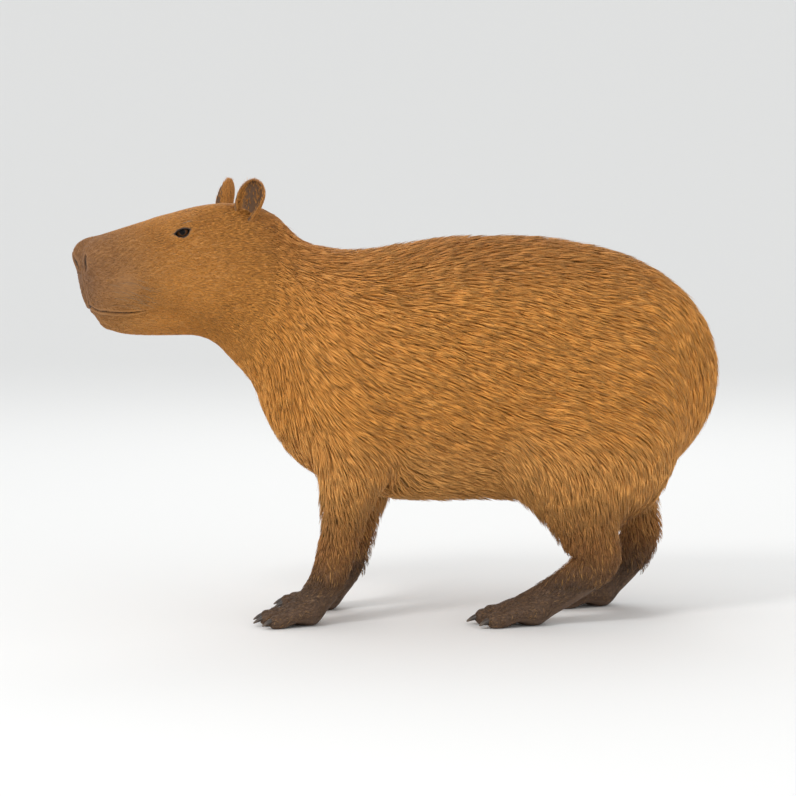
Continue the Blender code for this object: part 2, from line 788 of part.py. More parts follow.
def add_eyes(head):
    """A socket a hair wider than each eyeball, inside the swelling of the lids, and the opening between them."""
    sockets = [ball("socket", eye_centre(s), EYE_RADIUS + GAP, 8, 14) for s in (-1, 1)]
    cut(head, sockets, "DIFFERENCE")
    cut(head, [lid_opening(s) for s in (-1, 1)], "DIFFERENCE")
    eyes = {}
    for name, side in (("eye_left", 1), ("eye_right", -1)):
        eyes[name] = ball(name, eye_centre(side), EYE_RADIUS, 8, 14)
    return eyes


def on_head(tree, forward, side, up, sink):
    """The point of the head's surface found by looking in from the front or from one side."""
    if abs(side) > 1.5:
        start, aim = (forward, 0.25 * np.sign(side), up), (0, -np.sign(side), 0)
    else:
        start, aim = (0.40, side, up), (-1, 0, 0)
    aim = Vector(HEAD_AXES @ np.array(aim, float))
    hit = tree.ray_cast(from_head(*start), aim)[0]
    return hit + aim * sink


def mouth_path(tree):
    """The line of the mouth: from one corner round the front of the lips to the other."""
    half = []
    for forward, up in ((0.232, -0.0715), (0.214, -0.0750), (0.192, -0.0765), (0.170, -0.0740), (0.152, -0.0690)):
        half.append((forward, 2, up))
    left = [on_head(tree, f, s, u, 0) for f, s, u in half]
    right = [on_head(tree, f, -s, u, 0) for f, s, u in half]
    middle = []
    for side, up in ((0.036, -0.0685), (0.020, -0.0650), (0.007, -0.0600)):
        middle.append((side, up))
    sides = [s for s, _ in middle] + [-s for s, _ in reversed(middle)]
    ups = [u for _, u in middle] + [u for _, u in reversed(middle)]
    front = [on_head(tree, 0, s, u, 0) for s, u in zip(sides, ups)]
    return left[::-1] + front + right


def add_mouth(head):
    """A groove for the mouth, one up to the nose, and a slanting pit for each nostril."""
    tree = BVHTree.FromObject(head, bpy.context.evaluated_depsgraph_get())
    path = mouth_path(tree)
    radii = [0.0012 + 0.0016 * math.sin(math.pi * (i + 0.5) / len(path)) ** 0.5 for i in range(len(path))]
    tools = [swept("mouth", path, radii, 6, 0.8)]
    lip = [on_head(tree, 0, 0, u, 0) for u in (0.014, -0.002, -0.020, -0.040, -0.0575)]
    tools.append(swept("lip", lip, (0.0012, 0.0022, 0.0024, 0.0024, 0.0026), 6))
    for side in (-1, 1):
        inner = on_head(tree, 0, side * 0.0150, 0.003, -0.0005)
        middle = on_head(tree, 0, side * 0.0225, 0.014, 0.0010)
        outer = on_head(tree, 0, side * 0.0320, 0.027, -0.0005)
        tools.append(swept("nostril", (inner, middle, outer), (0.0030, 0.0066, 0.0034), 8))
    return cut(head, tools, "DIFFERENCE")


# Claws


def claw(name, toe, length, radius, grow):
    """A blunt claw out of a toe's end, along the toe and down; grow gives the socket it sits in."""
    tip, before = Vector(toe[-1][:3]), Vector(toe[-2][:3])
    ahead = (tip - before)
    ahead.z = 0
    ahead.normalize()
    across = ahead.cross(Vector((0, 0, 1)))
    rings = []
    for along, high, share in ((0.0, 0.0132, 0.92), (0.40, 0.0128, 1.0), (0.74, 0.0090, 0.70), (1.0, 0.0042, 0.20)):
        at = Vector((tip.x, tip.y, 0)) + ahead * (length * along - 0.0005 - grow * (1 if along == 0 else -1))
        at.z = high
        ring = []
        for k in range(6):
            a = 2 * math.pi * k / 6
            r = radius * share + grow * 1.3
            ring.append(at + across * r * math.cos(a) + Vector((0, 0, 0.80 * r * math.sin(a))))
        rings.append(ring)
    return lofted(name, rings)


def named_claws(side, word):
    """Name, toe, length and radius of each claw of one side."""
    found = []
    for i, toe in enumerate(fore_toes(side)):
        found.append((f"claw_fore_{word}_{i + 1}", toe, 0.026, 0.0062, "fore"))
    for i, toe in enumerate(hind_toes(side)):
        found.append((f"claw_hind_{word}_{i + 1}", toe, 0.030, 0.0076, "hind"))
    return found


# Materials: colour, roughness, metallic

COAT = (0.30, 0.155, 0.062)
MATERIALS = {
    "coat": (COAT, 0.85),
    "coat_dark": ((0.20, 0.105, 0.045), 0.85),
    "skin": ((0.090, 0.060, 0.042), 0.70),
    "eye": ((0.020, 0.010, 0.006), 0.08),
    "claw": ((0.045, 0.032, 0.025), 0.45),
}


def coloured(obj, kind):
    """Gives the object a material of its own, named after it."""
    (red, green, blue), roughness = MATERIALS[kind]
    material = bpy.data.materials.new(obj.name)
    material.use_nodes = True
    shader = material.node_tree.nodes["Principled BSDF"]
    shader.inputs["Base Color"].default_value = (red, green, blue, 1)
    shader.inputs["Roughness"].default_value = roughness
    shader.inputs["Metallic"].default_value = 0.0
    obj.data.materials.clear()
    obj.data.materials.append(material)
    obj.data.shade_smooth()
    obj.data.set_sharp_from_angle(angle=math.radians(50))


# Assembly


def build_head():
    """The head on its own fine grid, parted from the neck, then its features."""
    low, high = (-0.600, -0.200, 0.420), (-0.150, 0.160, 0.760)
    points, quads = meshed(upper_field, low, high, FINE_CELL)
    head = mesh_object("head", points, quads)
    thinned(head, HEAD_TRIANGLES)
    parted(head, NECK_PLANE[0], -NECK_PLANE[1], GAP / 2)
    largest(head)
    ears = add_ears(head)
    eyes = add_eyes(head)
    add_mouth(head)
    largest(head)
    return {"head": head, **ears, **eyes}


def build_paw(name, field, toes, point, normal):
    """One foot on its own fine grid, parted from the leg by a plane and flat below."""
    ends = np.array([row[:3] for toe in toes for row in toe])
    low = (ends[:, 0].min() - 0.03, ends[:, 1].min() - 0.04, -0.012)
    high = (ends[:, 0].max() + 0.13, ends[:, 1].max() + 0.04, 0.13)
    points, quads = meshed(field, low, high, FINE_CELL)
    paw = mesh_object(name, points, quads)
    thinned(paw, PAW_TRIANGLES)
    parted(paw, point, normal, GAP / 2)
    return parted(largest(paw), (0, 0, 0), (0, 0, -1), 0.0)


def wrist_plane(side):
    return (0, 0, WRIST_HEIGHT), Vector((0, 0, 1))


def build_side(whole, side, word):
    """Both legs, feet and claws of one side."""
    nodes = {}
    for kind, field, toes in (("fore", foreleg_field, fore_toes(side)), ("hind", hindleg_field, hind_toes(side))):
        point, normal = wrist_plane(side) if kind == "fore" else ANKLE_PLANES[side]
        leg = copy_of(whole, f"{kind}leg_{word}")
        cut(leg, [leg_box(box_of(kind, side), side, 0)], "INTERSECT")
        cut(leg, [half_space(point, -normal, -GAP / 2)], "DIFFERENCE")
        nodes[leg.name] = largest(leg)
        name = f"{kind}paw_{word}"
        paw = build_paw(name, lambda p, f=field: f(p, side), toes, point, normal)
        sockets = [claw("socket", t, n, r, GAP) for _, t, n, r, k in named_claws(side, word) if k == kind]
        nodes[name] = largest(cut(paw, sockets, "DIFFERENCE"))
    for name, toe, length, radius, _ in named_claws(side, word):
        nodes[name] = claw(name, toe, length, radius, 0)
    return nodes


def build_trunk(whole):
    """What is left of the body once the legs are out, parted into neck, torso and rump."""
    boxes = [leg_box(box_of(kind, side), side, GAP) for kind in ("fore", "hind") for side in (-1, 1)]
    trunk = cut(copy_of(whole, "trunk"), boxes, "DIFFERENCE")
    nodes = {}
    for name, planes in {
        "neck": ((NECK_PLANE[0], NECK_PLANE[1]), (SHOULDER_PLANE[0], SHOULDER_PLANE[1])),
        "torso": ((SHOULDER_PLANE[0], -SHOULDER_PLANE[1]), (LOIN_PLANE[0], LOIN_PLANE[1])),
        "rump": ((LOIN_PLANE[0], -LOIN_PLANE[1]),),
    }.items():
        node = copy_of(trunk, name)
        for point, normal in planes:
            cut(node, [half_space(point, normal, -GAP / 2)], "DIFFERENCE")
        nodes[name] = largest(node)
    bpy.data.objects.remove(trunk)
    return nodes


def kind_of(name):
    if name.startswith("claw"):
        return "claw"
    if name.startswith("eye"):
        return "eye"
    if "paw" in name or name.startswith("ear"):
        return "skin"
    if name in ("foreleg_right", "hindleg_right"):
        return "coat_dark"
    return "coat"


def build():
    for old in list(bpy.data.objects):
        bpy.data.objects.remove(old)
    points, quads = meshed(body_field, (-0.62, -0.25, -0.02), (0.60, 0.25, 0.80), BODY_CELL)
    whole = largest(mesh_object("whole", points, quads))
    thinned(whole, BODY_TRIANGLES)
    largest(add_locks(whole))
    nodes = build_trunk(whole)
    nodes.update(build_side(whole, -1, "left"))
    nodes.update(build_side(whole, 1, "right"))
    bpy.data.objects.remove(whole)
    nodes.update(build_head())
    low = np.array([list(v.co) for o in nodes.values() for v in o.data.vertices])
    middle = (low.min(0) + low.max(0)) / 2
    move = Matrix.Translation((-middle[0], -middle[1], -low[:, 2].min()))
    for name, obj in nodes.items():
        obj.data.transform(move)
        coloured(obj, kind_of(name))


if __name__ == "__main__":
    build()
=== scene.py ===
# %% [markdown]
# # A capybara, life-size and standing still
#
# This lesson dresses a plain solid model of a capybara. The packed model is loaded as a fixed
# frame. A finer skin takes the place of its flesh, and thousands of small tufts of hair are
# laid over that skin. Everything is in metres, +Z is up, and the animal looks towards -X.

# %% Load the packed model
import json
import math

import bmesh
import bpy
import numpy as np
import openvdb
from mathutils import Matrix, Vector
from mathutils.kdtree import KDTree

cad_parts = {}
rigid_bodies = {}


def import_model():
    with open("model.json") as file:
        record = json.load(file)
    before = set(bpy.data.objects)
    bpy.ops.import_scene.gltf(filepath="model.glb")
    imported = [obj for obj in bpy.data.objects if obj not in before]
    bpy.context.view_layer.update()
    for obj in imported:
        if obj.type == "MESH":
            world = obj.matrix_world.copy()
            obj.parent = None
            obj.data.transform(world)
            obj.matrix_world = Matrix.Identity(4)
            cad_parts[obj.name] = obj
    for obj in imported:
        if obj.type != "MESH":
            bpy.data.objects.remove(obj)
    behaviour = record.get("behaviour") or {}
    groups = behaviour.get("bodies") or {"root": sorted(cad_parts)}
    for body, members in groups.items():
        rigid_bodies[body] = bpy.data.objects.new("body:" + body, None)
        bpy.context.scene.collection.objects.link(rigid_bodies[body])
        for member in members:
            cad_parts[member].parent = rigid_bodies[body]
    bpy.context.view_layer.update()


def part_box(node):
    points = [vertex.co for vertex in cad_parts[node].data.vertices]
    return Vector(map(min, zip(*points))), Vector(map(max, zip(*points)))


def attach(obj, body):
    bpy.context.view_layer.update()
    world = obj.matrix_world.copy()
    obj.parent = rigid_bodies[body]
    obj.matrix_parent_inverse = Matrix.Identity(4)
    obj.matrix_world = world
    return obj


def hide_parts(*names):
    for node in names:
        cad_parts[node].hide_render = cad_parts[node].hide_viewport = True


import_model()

# %% [markdown]
# ## Named sizes
#
# A grown capybara is a deep barrel on four short legs, 0.50 to 0.62 m high at the shoulder.
# Its sizes could be typed in wherever they are used, but then a change to one would tear the
# animal apart. The sizes of the solid model are named here once instead, and every surface
# below is worked out from them.

# %% Sizes of the animal
BACK_HEIGHT = 0.650
BELLY_HEIGHT = 0.215
TRUNK_WIDTH = 0.310
HEAD_LENGTH = 0.265
HEAD_CENTRE = np.array((-0.292, -0.012, 0.638))
HEAD_TURN = math.radians(22)
HEAD_DROP = math.radians(9)
EYE_RADIUS = 0.0126
LID_THICK = 0.0026
EYE_AT = (0.100, 0.0505, 0.039)
EAR_AT = (-0.014, 0.050, 0.046)
EAR_HEIGHT = 0.062
EAR_HALF_WIDTH = 0.0245
STANCE = {"fore": 0.082, "hind": 0.100}
FAR_FORE_SHIFT = 0.036
CORE_DEPTH = 0.0125

TRUNK_MID = (BACK_HEIGHT + BELLY_HEIGHT) / 2
TRUNK_HALF_DEPTH = (BACK_HEIGHT - BELLY_HEIGHT) / 2
TRUNK_HALF_WIDTH = TRUNK_WIDTH / 2
print("trunk", TRUNK_WIDTH, "m wide and", round(2 * TRUNK_HALF_DEPTH, 3), "m deep")

# %% Sections along the head and the legs
# Distance forward, top, bottom, half width, narrowing of the top
HEAD_ROWS = (
    (-0.110, 0.020, -0.090, 0.064, 0.10),
    (-0.060, 0.050, -0.114, 0.078, 0.14),
    (-0.010, 0.067, -0.120, 0.083, 0.18),
    (0.045, 0.071, -0.113, 0.082, 0.20),
    (0.100, 0.067, -0.103, 0.074, 0.14),
    (0.150, 0.062, -0.093, 0.066, 0.05),
    (0.200, 0.056, -0.087, 0.0610, -0.02),
    (0.240, 0.051, -0.083, 0.0590, -0.05),
    (0.285, 0.045, -0.078, 0.0570, -0.06),
)
# Distance forward, height, radius
JAW_ROWS = (
    (0.226, -0.082, 0.0225),
    (0.195, -0.089, 0.0280),
    (0.130, -0.096, 0.0340),
    (0.050, -0.100, 0.0420),
)
# x, share of the stance, z, radius
FORELEG_ROWS = (
    (-0.072, 0.94, 0.345, 0.066),
    (-0.088, 1.00, 0.262, 0.052),
    (-0.106, 1.00, 0.180, 0.0375),
    (-0.119, 1.00, 0.115, 0.0295),
    (-0.134, 1.00, 0.066, 0.0280),
    (-0.166, 1.00, 0.024, 0.0270),
)
NEAR_HINDLEG_ROWS = (
    (0.262, 0.86, 0.300, 0.092),
    (0.282, 0.92, 0.240, 0.076),
    (0.300, 0.97, 0.185, 0.060),
    (0.316, 1.00, 0.140, 0.045),
    (0.324, 1.00, 0.106, 0.0350),
    (0.284, 1.00, 0.070, 0.0300),
    (0.212, 1.00, 0.026, 0.0290),
)
FAR_HINDLEG_ROWS = (
    (0.300, 0.86, 0.310, 0.092),
    (0.348, 0.92, 0.248, 0.074),
    (0.392, 0.97, 0.200, 0.056),
    (0.414, 1.00, 0.165, 0.043),
    (0.424, 1.00, 0.134, 0.0345),
    (0.404, 1.00, 0.084, 0.0300),
    (0.350, 1.00, 0.026, 0.0290),
)
print(len(HEAD_ROWS), "sections along the head,", len(FORELEG_ROWS), "down a foreleg")

# %% [markdown]
# ## The head's own frame
#
# The animal holds its head level, turned a little to its own left and bent down a little. The
# parts of a turned head could be placed in the world's axes, one by one. It is easier to give
# them as distances forward, to the left and up from its middle, and to turn them all together.

# %% Turn to and from the head's frame
# Least values, which keep a division or a power away from 0
SMALL, SMALLEST = 1e-6, 1e-12


def unit(v):
    """Vectors divided by their length."""
    return v / np.maximum(np.linalg.norm(v, axis=-1, keepdims=True), SMALL)


def turned(v, angle):
    """A vector turned by the angle about the upright axis."""
    c, s = math.cos(angle), math.sin(angle)
    return np.array((c * v[0] - s * v[1], s * v[0] + c * v[1], v[2]))


HEAD_FORWARD = turned((-math.cos(HEAD_DROP), 0, -math.sin(HEAD_DROP)), HEAD_TURN)
HEAD_LEFT = turned((0, -1, 0), HEAD_TURN)
HEAD_UP = np.cross(HEAD_FORWARD, HEAD_LEFT)
HEAD_AXES = np.array([HEAD_FORWARD, HEAD_LEFT, HEAD_UP])
UP = np.array((0, 0, 1.0))


def from_head(forward, left, up):
    """Rows of points: the head's centre plus each distance times its axis."""
    q = np.stack(np.broadcast_arrays(forward, left, up), axis=-1).astype(float)
    return HEAD_CENTRE + q @ HEAD_AXES


def in_head(p):
    """Rows of distances forward, to the left and up: each point's offset along each axis."""
    return (np.asarray(p) - HEAD_CENTRE) @ HEAD_AXES.T


# The packed model is centred on its box. An eyeball says how far it was moved.
eye_low, eye_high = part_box("eye_left")
SHIFT = from_head(*EYE_AT) - (np.array(eye_low) + np.array(eye_high)) / 2
print("the packed model sits", np.round(-SHIFT * 1000, 1), "mm from the field's origin")

# %% [markdown]
# ## The flesh as a distance field
#
# A rounded body can be sculpted, lofted or cut from subdivision cages. Here it is a distance
# field: a function that says how far any point is from the surface, negative inside. Round
# masses are joined with a soft minimum, which works like clay pressed together, and the same
# function later tells each hair where the surface is and which way is out.

# %% Round masses and straight bars
def lump(p, centre, radii):
    """Distance to an ellipsoid, exact on its surface and close to it nearby.

    With near the length of the offset over the radii, and slope the length of the offset over
    the squared radii, the distance is near times (near - 1) over slope.
    """
    q = [p[i] - centre[i] for i in range(3)]
    near = np.sqrt(sum((q[i] / radii[i]) ** 2 for i in range(3)))
    slope = np.sqrt(sum((q[i] / radii[i] ** 2) ** 2 for i in range(3)))
    return near * (near - 1) / np.maximum(slope, SMALL)


def to_bar(p, start, end, wide):
    """Distance to the line between two rows of x, y, z, radius, and the radius beside it.

    The share t along the line is the offset along it over its squared length, from 0 to 1.
    """
    a = np.array(start[:3], float)
    d = np.array(end[:3], float) - a
    q = [p[i] - a[i] for i in range(3)]
    t = np.clip(sum(q[i] * d[i] for i in range(3)) / float(d @ d), 0, 1)
    off = [q[i] - t * d[i] for i in range(3)]
    off[1] = off[1] / wide
    return np.sqrt(sum(v * v for v in off)), start[3] + t * (end[3] - start[3])


def limb(p, start, end, wide=1.0):
    """Distance to a tapered round bar, stretched along Y by wide."""
    far, radius = to_bar(p, start, end, wide)
    return far - radius


to_ball = float(lump((0.3, 0, 0), (0, 0, 0), (0.1, 0.1, 0.1)))
print("0.3 m from the middle of a ball of radius 0.1 m:", round(to_ball, 3), "m to go")

# %% Bars along a smooth curve
def resampled(rows, steps):
    """A smooth cubic through the rows, with steps points to each stretch.

    Each stretch blends its two rows and the slopes there, with cubic weights of the share t.
    """
    rows = np.array(rows, float)
    slope = np.gradient(rows, axis=0)
    t = np.linspace(0, 1, steps, endpoint=False)[:, None]
    parts = []
    for a, b, m, n in zip(rows, rows[1:], slope, slope[1:]):
        ends = (2 * t**3 - 3 * t**2 + 1) * a + (3 * t**2 - 2 * t**3) * b
        parts.append(ends + (t**3 - 2 * t**2 + t) * m + (t**3 - t**2) * n)
    return np.vstack(parts + [rows[-1:]])


def tube(p, rows, wide=1.0, steps=4):
    """Distance to the nearest of the short bars of a smooth curve, less the radius there."""
    rows = resampled(rows, steps)
    near, radius = to_bar(p, rows[0], rows[1], wide)
    for a, b in zip(rows[1:], rows[2:]):
        far, r = to_bar(p, a, b, wide)
        radius = np.where(far < near, r, radius)
        near = np.minimum(far, near)
    return near - radius


print("a curve through", len(JAW_ROWS), "rows has", len(resampled(JAW_ROWS, 4)), "points")

# %% Soft joins and smooth steps
def joined(a, b, soft):
    """Soft minimum of two distances, with a fillet of about the size soft.

    A share h of a and 1 - h of b, less soft times h times (1 - h).
    """
    h = np.clip(0.5 + 0.5 * (b - a) / soft, 0, 1)
    return b + (a - b) * h - soft * h * (1 - h)


def common(a, b, soft):
    """Soft maximum: what two distances share, with its edge rounded."""
    return -joined(-a, -b, soft)


def ramp(x, low, high):
    """Smooth step from 0 at low to 1 at high: three t squared less two t cubed."""
    t = np.clip((x - low) / (high - low), 0, 1)
    return t * t * (3 - 2 * t)


def moulded(p, field, masses):
    """The field with lumps joined on in turn, each given as centre, radii and softness."""
    for centre, radii, soft in masses:
        field = joined(field, lump(p, centre, radii), soft)
    return field


FAR_OFF = 0.3


def only_in(p, low, high, field):
    """A field worked out only for points in a box; elsewhere it is simply far off."""
    value = np.full(p[0].shape, FAR_OFF)
    mask = np.ones(p[0].shape, bool)
    for i in range(3):
        mask &= (p[i] > low[i]) & (p[i] < high[i])
    if mask.any():
        value[mask] = field([q[mask] for q in p])
    return value


print("where two surfaces touch, a join of 0.04 adds", -float(joined(0.0, 0.0, 0.04)), "m")

# %% [markdown]
# ## Trunk, neck and legs
#
# The barrel of a capybara has its highest point over the loins, a slack belly and heavy
# thighs. One loft from nose to rump would need a section for each bulge. Here each mass is an
# ellipsoid with a place and a size that can be checked against the animal, and the legs are
# bars along curves, so a foot can be moved without touching the trunk.

# %% Trunk and neck
RIBS = ((0.000, 0, TRUNK_MID - 0.016), (0.225, 0.92 * TRUNK_HALF_WIDTH, TRUNK_HALF_DEPTH - 0.016))
LOINS = ((0.150, 0, TRUNK_MID), (0.260, 0.98 * TRUNK_HALF_WIDTH, TRUNK_HALF_DEPTH - 0.003), 0.08)
HIPS = ((0.287, 0, TRUNK_MID - 0.014), (0.251, 0.93 * TRUNK_HALF_WIDTH, TRUNK_HALF_DEPTH - 0.006), 0.06)
BREAST = ((-0.105, 0, 0.405), (0.115, 0.092, 0.130), 0.06)
TRUNK_MASSES = [LOINS, HIPS, BREAST]
for side in (-1, 1):
    shoulder = ((-0.085, side * 0.080, 0.400), (0.085, 0.060, 0.165), 0.04)
    thigh = ((0.325, side * 0.086, 0.335), (0.140, 0.070, 0.165), 0.04)
    TRUNK_MASSES += [shoulder, thigh]


def trunk_field(p):
    """Ribs, loins, hips, breast, shoulders and thighs pressed together."""
    return moulded(p, lump(p, *RIBS), TRUNK_MASSES)


def neck_field(p):
    """Two thick tapered bars: one under the nape and one under the throat."""
    x, y, z = HEAD_CENTRE
    nape = limb(p, (x + 0.025, y * 0.5, z - 0.048, 0.088), (-0.01, 0, 0.440, 0.145), 1.08)
    throat = limb(p, (x + 0.025, y * 0.5, z - 0.095, 0.078), (-0.10, 0, 0.37, 0.105), 1.05)
    return joined(nape, throat, 0.05)


trunk_middle = [np.array([v]) for v in (0.15, 0.0, TRUNK_MID)]
print("the trunk's middle lies", -round(float(trunk_field(trunk_middle)[0]), 3), "m deep")

# %% Legs and toes
LEGS = (("fore", -1), ("fore", 1), ("hind", -1), ("hind", 1))
LEG_SOFT = {"fore": 0.035, "hind": 0.045}
LEG_WIDE = {"fore": 1.0, "hind": 0.86}
# Toes, spread in degrees, reach, radius, width across their roots
FEET = {"fore": (4, 44, 0.074, 0.0118, 0.044), "hind": (3, 32, 0.086, 0.0140, 0.040)}
ROOT_HEIGHT = 0.024
LEG_ROOM = 0.17


def leg_rows(kind, side):
    """Rows of x, y, z, radius down one leg; side is -1 for the left legs and 1 for the right."""
    if kind == "fore":
        rows, shift = FORELEG_ROWS, FAR_FORE_SHIFT if side > 0 else 0.0
    else:
        rows, shift = NEAR_HINDLEG_ROWS if side < 0 else FAR_HINDLEG_ROWS, 0.0
    return [(x + shift, side * STANCE[kind] * share, z, r) for x, share, z, r in rows]


def toe_rows(kind, side):
    """Each toe of a foot: root, knuckle, pad and tip, spread like the ribs of a fan."""
    count, spread, reach, radius, width = FEET[kind]
    ball = leg_rows(kind, side)[-1]
    toes = []
    for i in range(count):
        share = i / (count - 1) - 0.5
        length = reach * (1 - 0.45 * abs(share) ** 1.5)
        angle = math.radians(spread) * share
        ahead, across = -math.cos(angle), math.sin(angle)
        x, y = ball[0] + 0.006, ball[1] + width * share
        toe = [(x, y, ROOT_HEIGHT, radius * 1.35)]
        for part, height, thick in ((0.45, 1.75, 1.12), (0.78, 1.05, 1.02), (1.0, 0.90, 1.00)):
            reached = part * length
            toe.append((x + reached * ahead, y + reached * across, radius * height, radius * thick))
        toes.append(toe)
    return toes


def foot_field(p, toes):
    """The toes of one foot, with fillets between them for the webs."""
    foot = tube(p, toes[0], 1.0, 2)
    for toe in toes[1:]:
        foot = joined(foot, tube(p, toe, 1.0, 2), 0.010)
    return foot


def leg_field(p, kind, side):
    """One leg as a bar along its rows, with its toes joined on."""
    rows, toes = np.array(leg_rows(kind, side)), toe_rows(kind, side)
    ball = rows[-1]
    low, high = (ball[0] - 0.15, -1, -1), (ball[0] + 0.06, 1, 0.10)
    foot = only_in(p, low, high, lambda q: foot_field(q, toes))
    return joined(tube(p, rows, LEG_WIDE[kind]), foot, 0.016)


def leg_box(kind, side):
    """Corners of a box round one leg, with room for its fillets."""
    rows = np.array(leg_rows(kind, side))
    return rows[:, :3].min(0) - LEG_ROOM, rows[:, :3].max(0) + LEG_ROOM


print("toes:", [len(toe_rows(kind, side)) for kind, side in LEGS])

# %% [markdown]
# ## The head
#
# A capybara's head is a long box with rounded edges and a blunt, deep muzzle. It could be
# built of lumps like the trunk, but its planes would be lost. So the skull is a loft: at each
# distance forward its section is a rounded box, whose half width, top and bottom come from
# the rows. Cheeks, brows, jaw and the swellings of the nostrils are pressed on.

# %% Skull and face
SKULL_POWER = 2.7
# How fast the front of the nose falls back beside its middle and over it
NOSE_SIDEWAYS, NOSE_UPWARD = 1.8, 1.3
NOSE_LEVEL, NOSE_ROUND = -0.010, 0.030
NAPE_AT, NAPE_ROUND = -0.105, 0.03
CHEEK = ((0.045, 0.048, -0.056), (0.075, 0.036, 0.058), 0.02)
NOSTRIL_WING = ((0.240, 0.030, 0.026), (0.022, 0.020, 0.018), 0.02)
BROW = ((0.098, 0.044, 0.048), (0.032, 0.016, 0.012), 0.02)
LIDS = (EYE_AT, [EYE_RADIUS + LID_THICK] * 3, 0.008)


def skull_field(h):
    """Superellipse at each distance forward, cut round at the nose and at the nape.

    The sum of the powers of side over half width and of height over half depth, with its root
    of the same power taken, is 1 on the surface. Less 1 and over its own slope it is a distance.
    """
    forward, side, up = h
    rows = resampled(HEAD_ROWS, 12)
    top, bottom, wide, narrow = [np.interp(forward, rows[:, 0], rows[:, i]) for i in range(1, 5)]
    v = (up - (top + bottom) / 2) / ((top - bottom) / 2)
    wide = wide * (1 - narrow * np.clip(v, -1.3, 1.3))
    q, size = [side / wide, np.abs(v)], [wide, (top - bottom) / 2]
    near = np.maximum(q[0] ** SKULL_POWER + q[1] ** SKULL_POWER, SMALLEST) ** (1 / SKULL_POWER)
    slope = np.sqrt(sum(((q[i] / near) ** (SKULL_POWER - 1) / size[i]) ** 2 for i in range(2)))
    body = (near - 1) / np.maximum(slope, SMALL)
    front = forward - (HEAD_LENGTH - NOSE_UPWARD * (up - NOSE_LEVEL) ** 2 - NOSE_SIDEWAYS * side**2)
    return common(common(body, front, NOSE_ROUND), NAPE_AT - forward, NAPE_ROUND)


def head_of(p):
    """The head's frame for separate coordinate arrays, with the side made positive."""
    q = [p[i] - HEAD_CENTRE[i] for i in range(3)]
    forward, side, up = [sum(HEAD_AXES[j][i] * q[i] for i in range(3)) for j in range(3)]
    return forward, np.abs(side), up


def head_field(h):
    """Skull, jaw, cheeks, nostril wings, brows and lids joined."""
    jaw = tube(h, [(f, 0, u, r) for f, u, r in JAW_ROWS], 1.25)
    return moulded(h, joined(skull_field(h), jaw, 0.012), (CHEEK, NOSTRIL_WING, BROW, LIDS))


head_middle = [np.array([v]) for v in (0.05, 0.0, -0.02)]
print("the head's middle lies", -round(float(head_field(head_middle)[0]), 3), "m deep")

# %% The whole animal
# A point of the plane where the long coat starts, and the way the plane faces
COAT_EDGE = from_head(-0.055, 0, 0.060)
COAT_EDGE_WAY = 0.933 * HEAD_FORWARD + 0.36 * HEAD_UP


def behind_head(p):
    """Distance behind the plane where the short hair of the head gives way to the long coat."""
    return -sum((p[i] - COAT_EDGE[i]) * COAT_EDGE_WAY[i] for i in range(3))


def coat_share(p):
    """Where the coat is deep: 1 on trunk, neck and upper legs, falling to 0 at head and feet."""
    return ramp(behind_head(p), 0.0, 0.07) * ramp(p[2], 0.10, 0.19)


def flesh_field(p):
    """Trunk, neck, head and legs joined, and sunk by the core's depth where the coat is deep."""
    trunk = only_in(p, (-0.40, -1, -1), (1, 1, 1), trunk_field)
    neck = only_in(p, (-1, -1, 0.2), (0.3, 1, 1), neck_field)
    head = only_in(p, (-1, -1, 0.40), (-0.12, 1, 1), lambda q: head_field(head_of(q)))
    field = joined(joined(trunk, neck, 0.05), head, 0.035)
    for kind, side in LEGS:
        leg = only_in(p, *leg_box(kind, side), lambda q: leg_field(q, kind, side))
        field = joined(field, leg, LEG_SOFT[kind])
    return field + CORE_DEPTH * coat_share(p)


print("under the coat the trunk's middle lies", -round(float(flesh_field(trunk_middle)[0]), 3), "m deep")

# %% [markdown]
# ## Lines on the face
#
# The mouth, the split of the upper lip and the nostrils follow lines over the muzzle. Their
# points could be typed with three coordinates, but a small error would lift them off the
# skin. Here only two are typed, and the third is found by walking in until the field is 0.

# %% Points found from outside
MOUTH_FRONT = ((0.000, -0.0585), (0.007, -0.0600), (0.020, -0.0650), (0.036, -0.0685))
MOUTH_SIDE = ((0.234, -0.0722), (0.222, -0.0750), (0.208, -0.0770), (0.194, -0.0780), (0.181, -0.0775))
LIP_HEIGHTS = (0.012, -0.002, -0.020, -0.040, -0.0575)
NOSTRIL_PLACES = ((0.0150, 0.003), (0.0225, 0.014), (0.0320, 0.027))


def found_on_face(start, aim):
    """Walks from a start along an aim by the field's own distance until it stands on the face."""
    at = np.array(start, float)
    aim = np.array(aim, float)
    for _ in range(60):
        far = head_field((at[..., 0], np.abs(at[..., 1]), at[..., 2]))
        at = at + aim * np.atleast_1d(far)[..., None]
    return at


def side_points(rows):
    """Points of the cheek at given distances forward and heights."""
    return found_on_face([(forward, 0.2, up) for forward, up in rows], (0, -1, 0))


def front_points(rows):
    """Points of the nose's front at given distances to the side and heights."""
    return found_on_face([(0.40, side, up) for side, up in rows], (-1, 0, 0))


mouth_line = np.vstack([front_points(MOUTH_FRONT), side_points(MOUTH_SIDE)])
lip_line = front_points([(0, up) for up in LIP_HEIGHTS])
nostril_line = front_points(NOSTRIL_PLACES)
print("mouth from", np.round(mouth_line[0], 3), "to", np.round(mouth_line[-1], 3))

# %% [markdown]
# ## From field to skin
#
# The flesh carries the hair and shows on the face and the feet. A level set turns the field
# into a mesh: the field is sampled on a grid and the surface runs where it is 0. The grid
# here isn't even: its cells are small at the head and the feet and wide along the trunk,
# where the coat hides the skin. The points are then pulled exactly onto the surface.

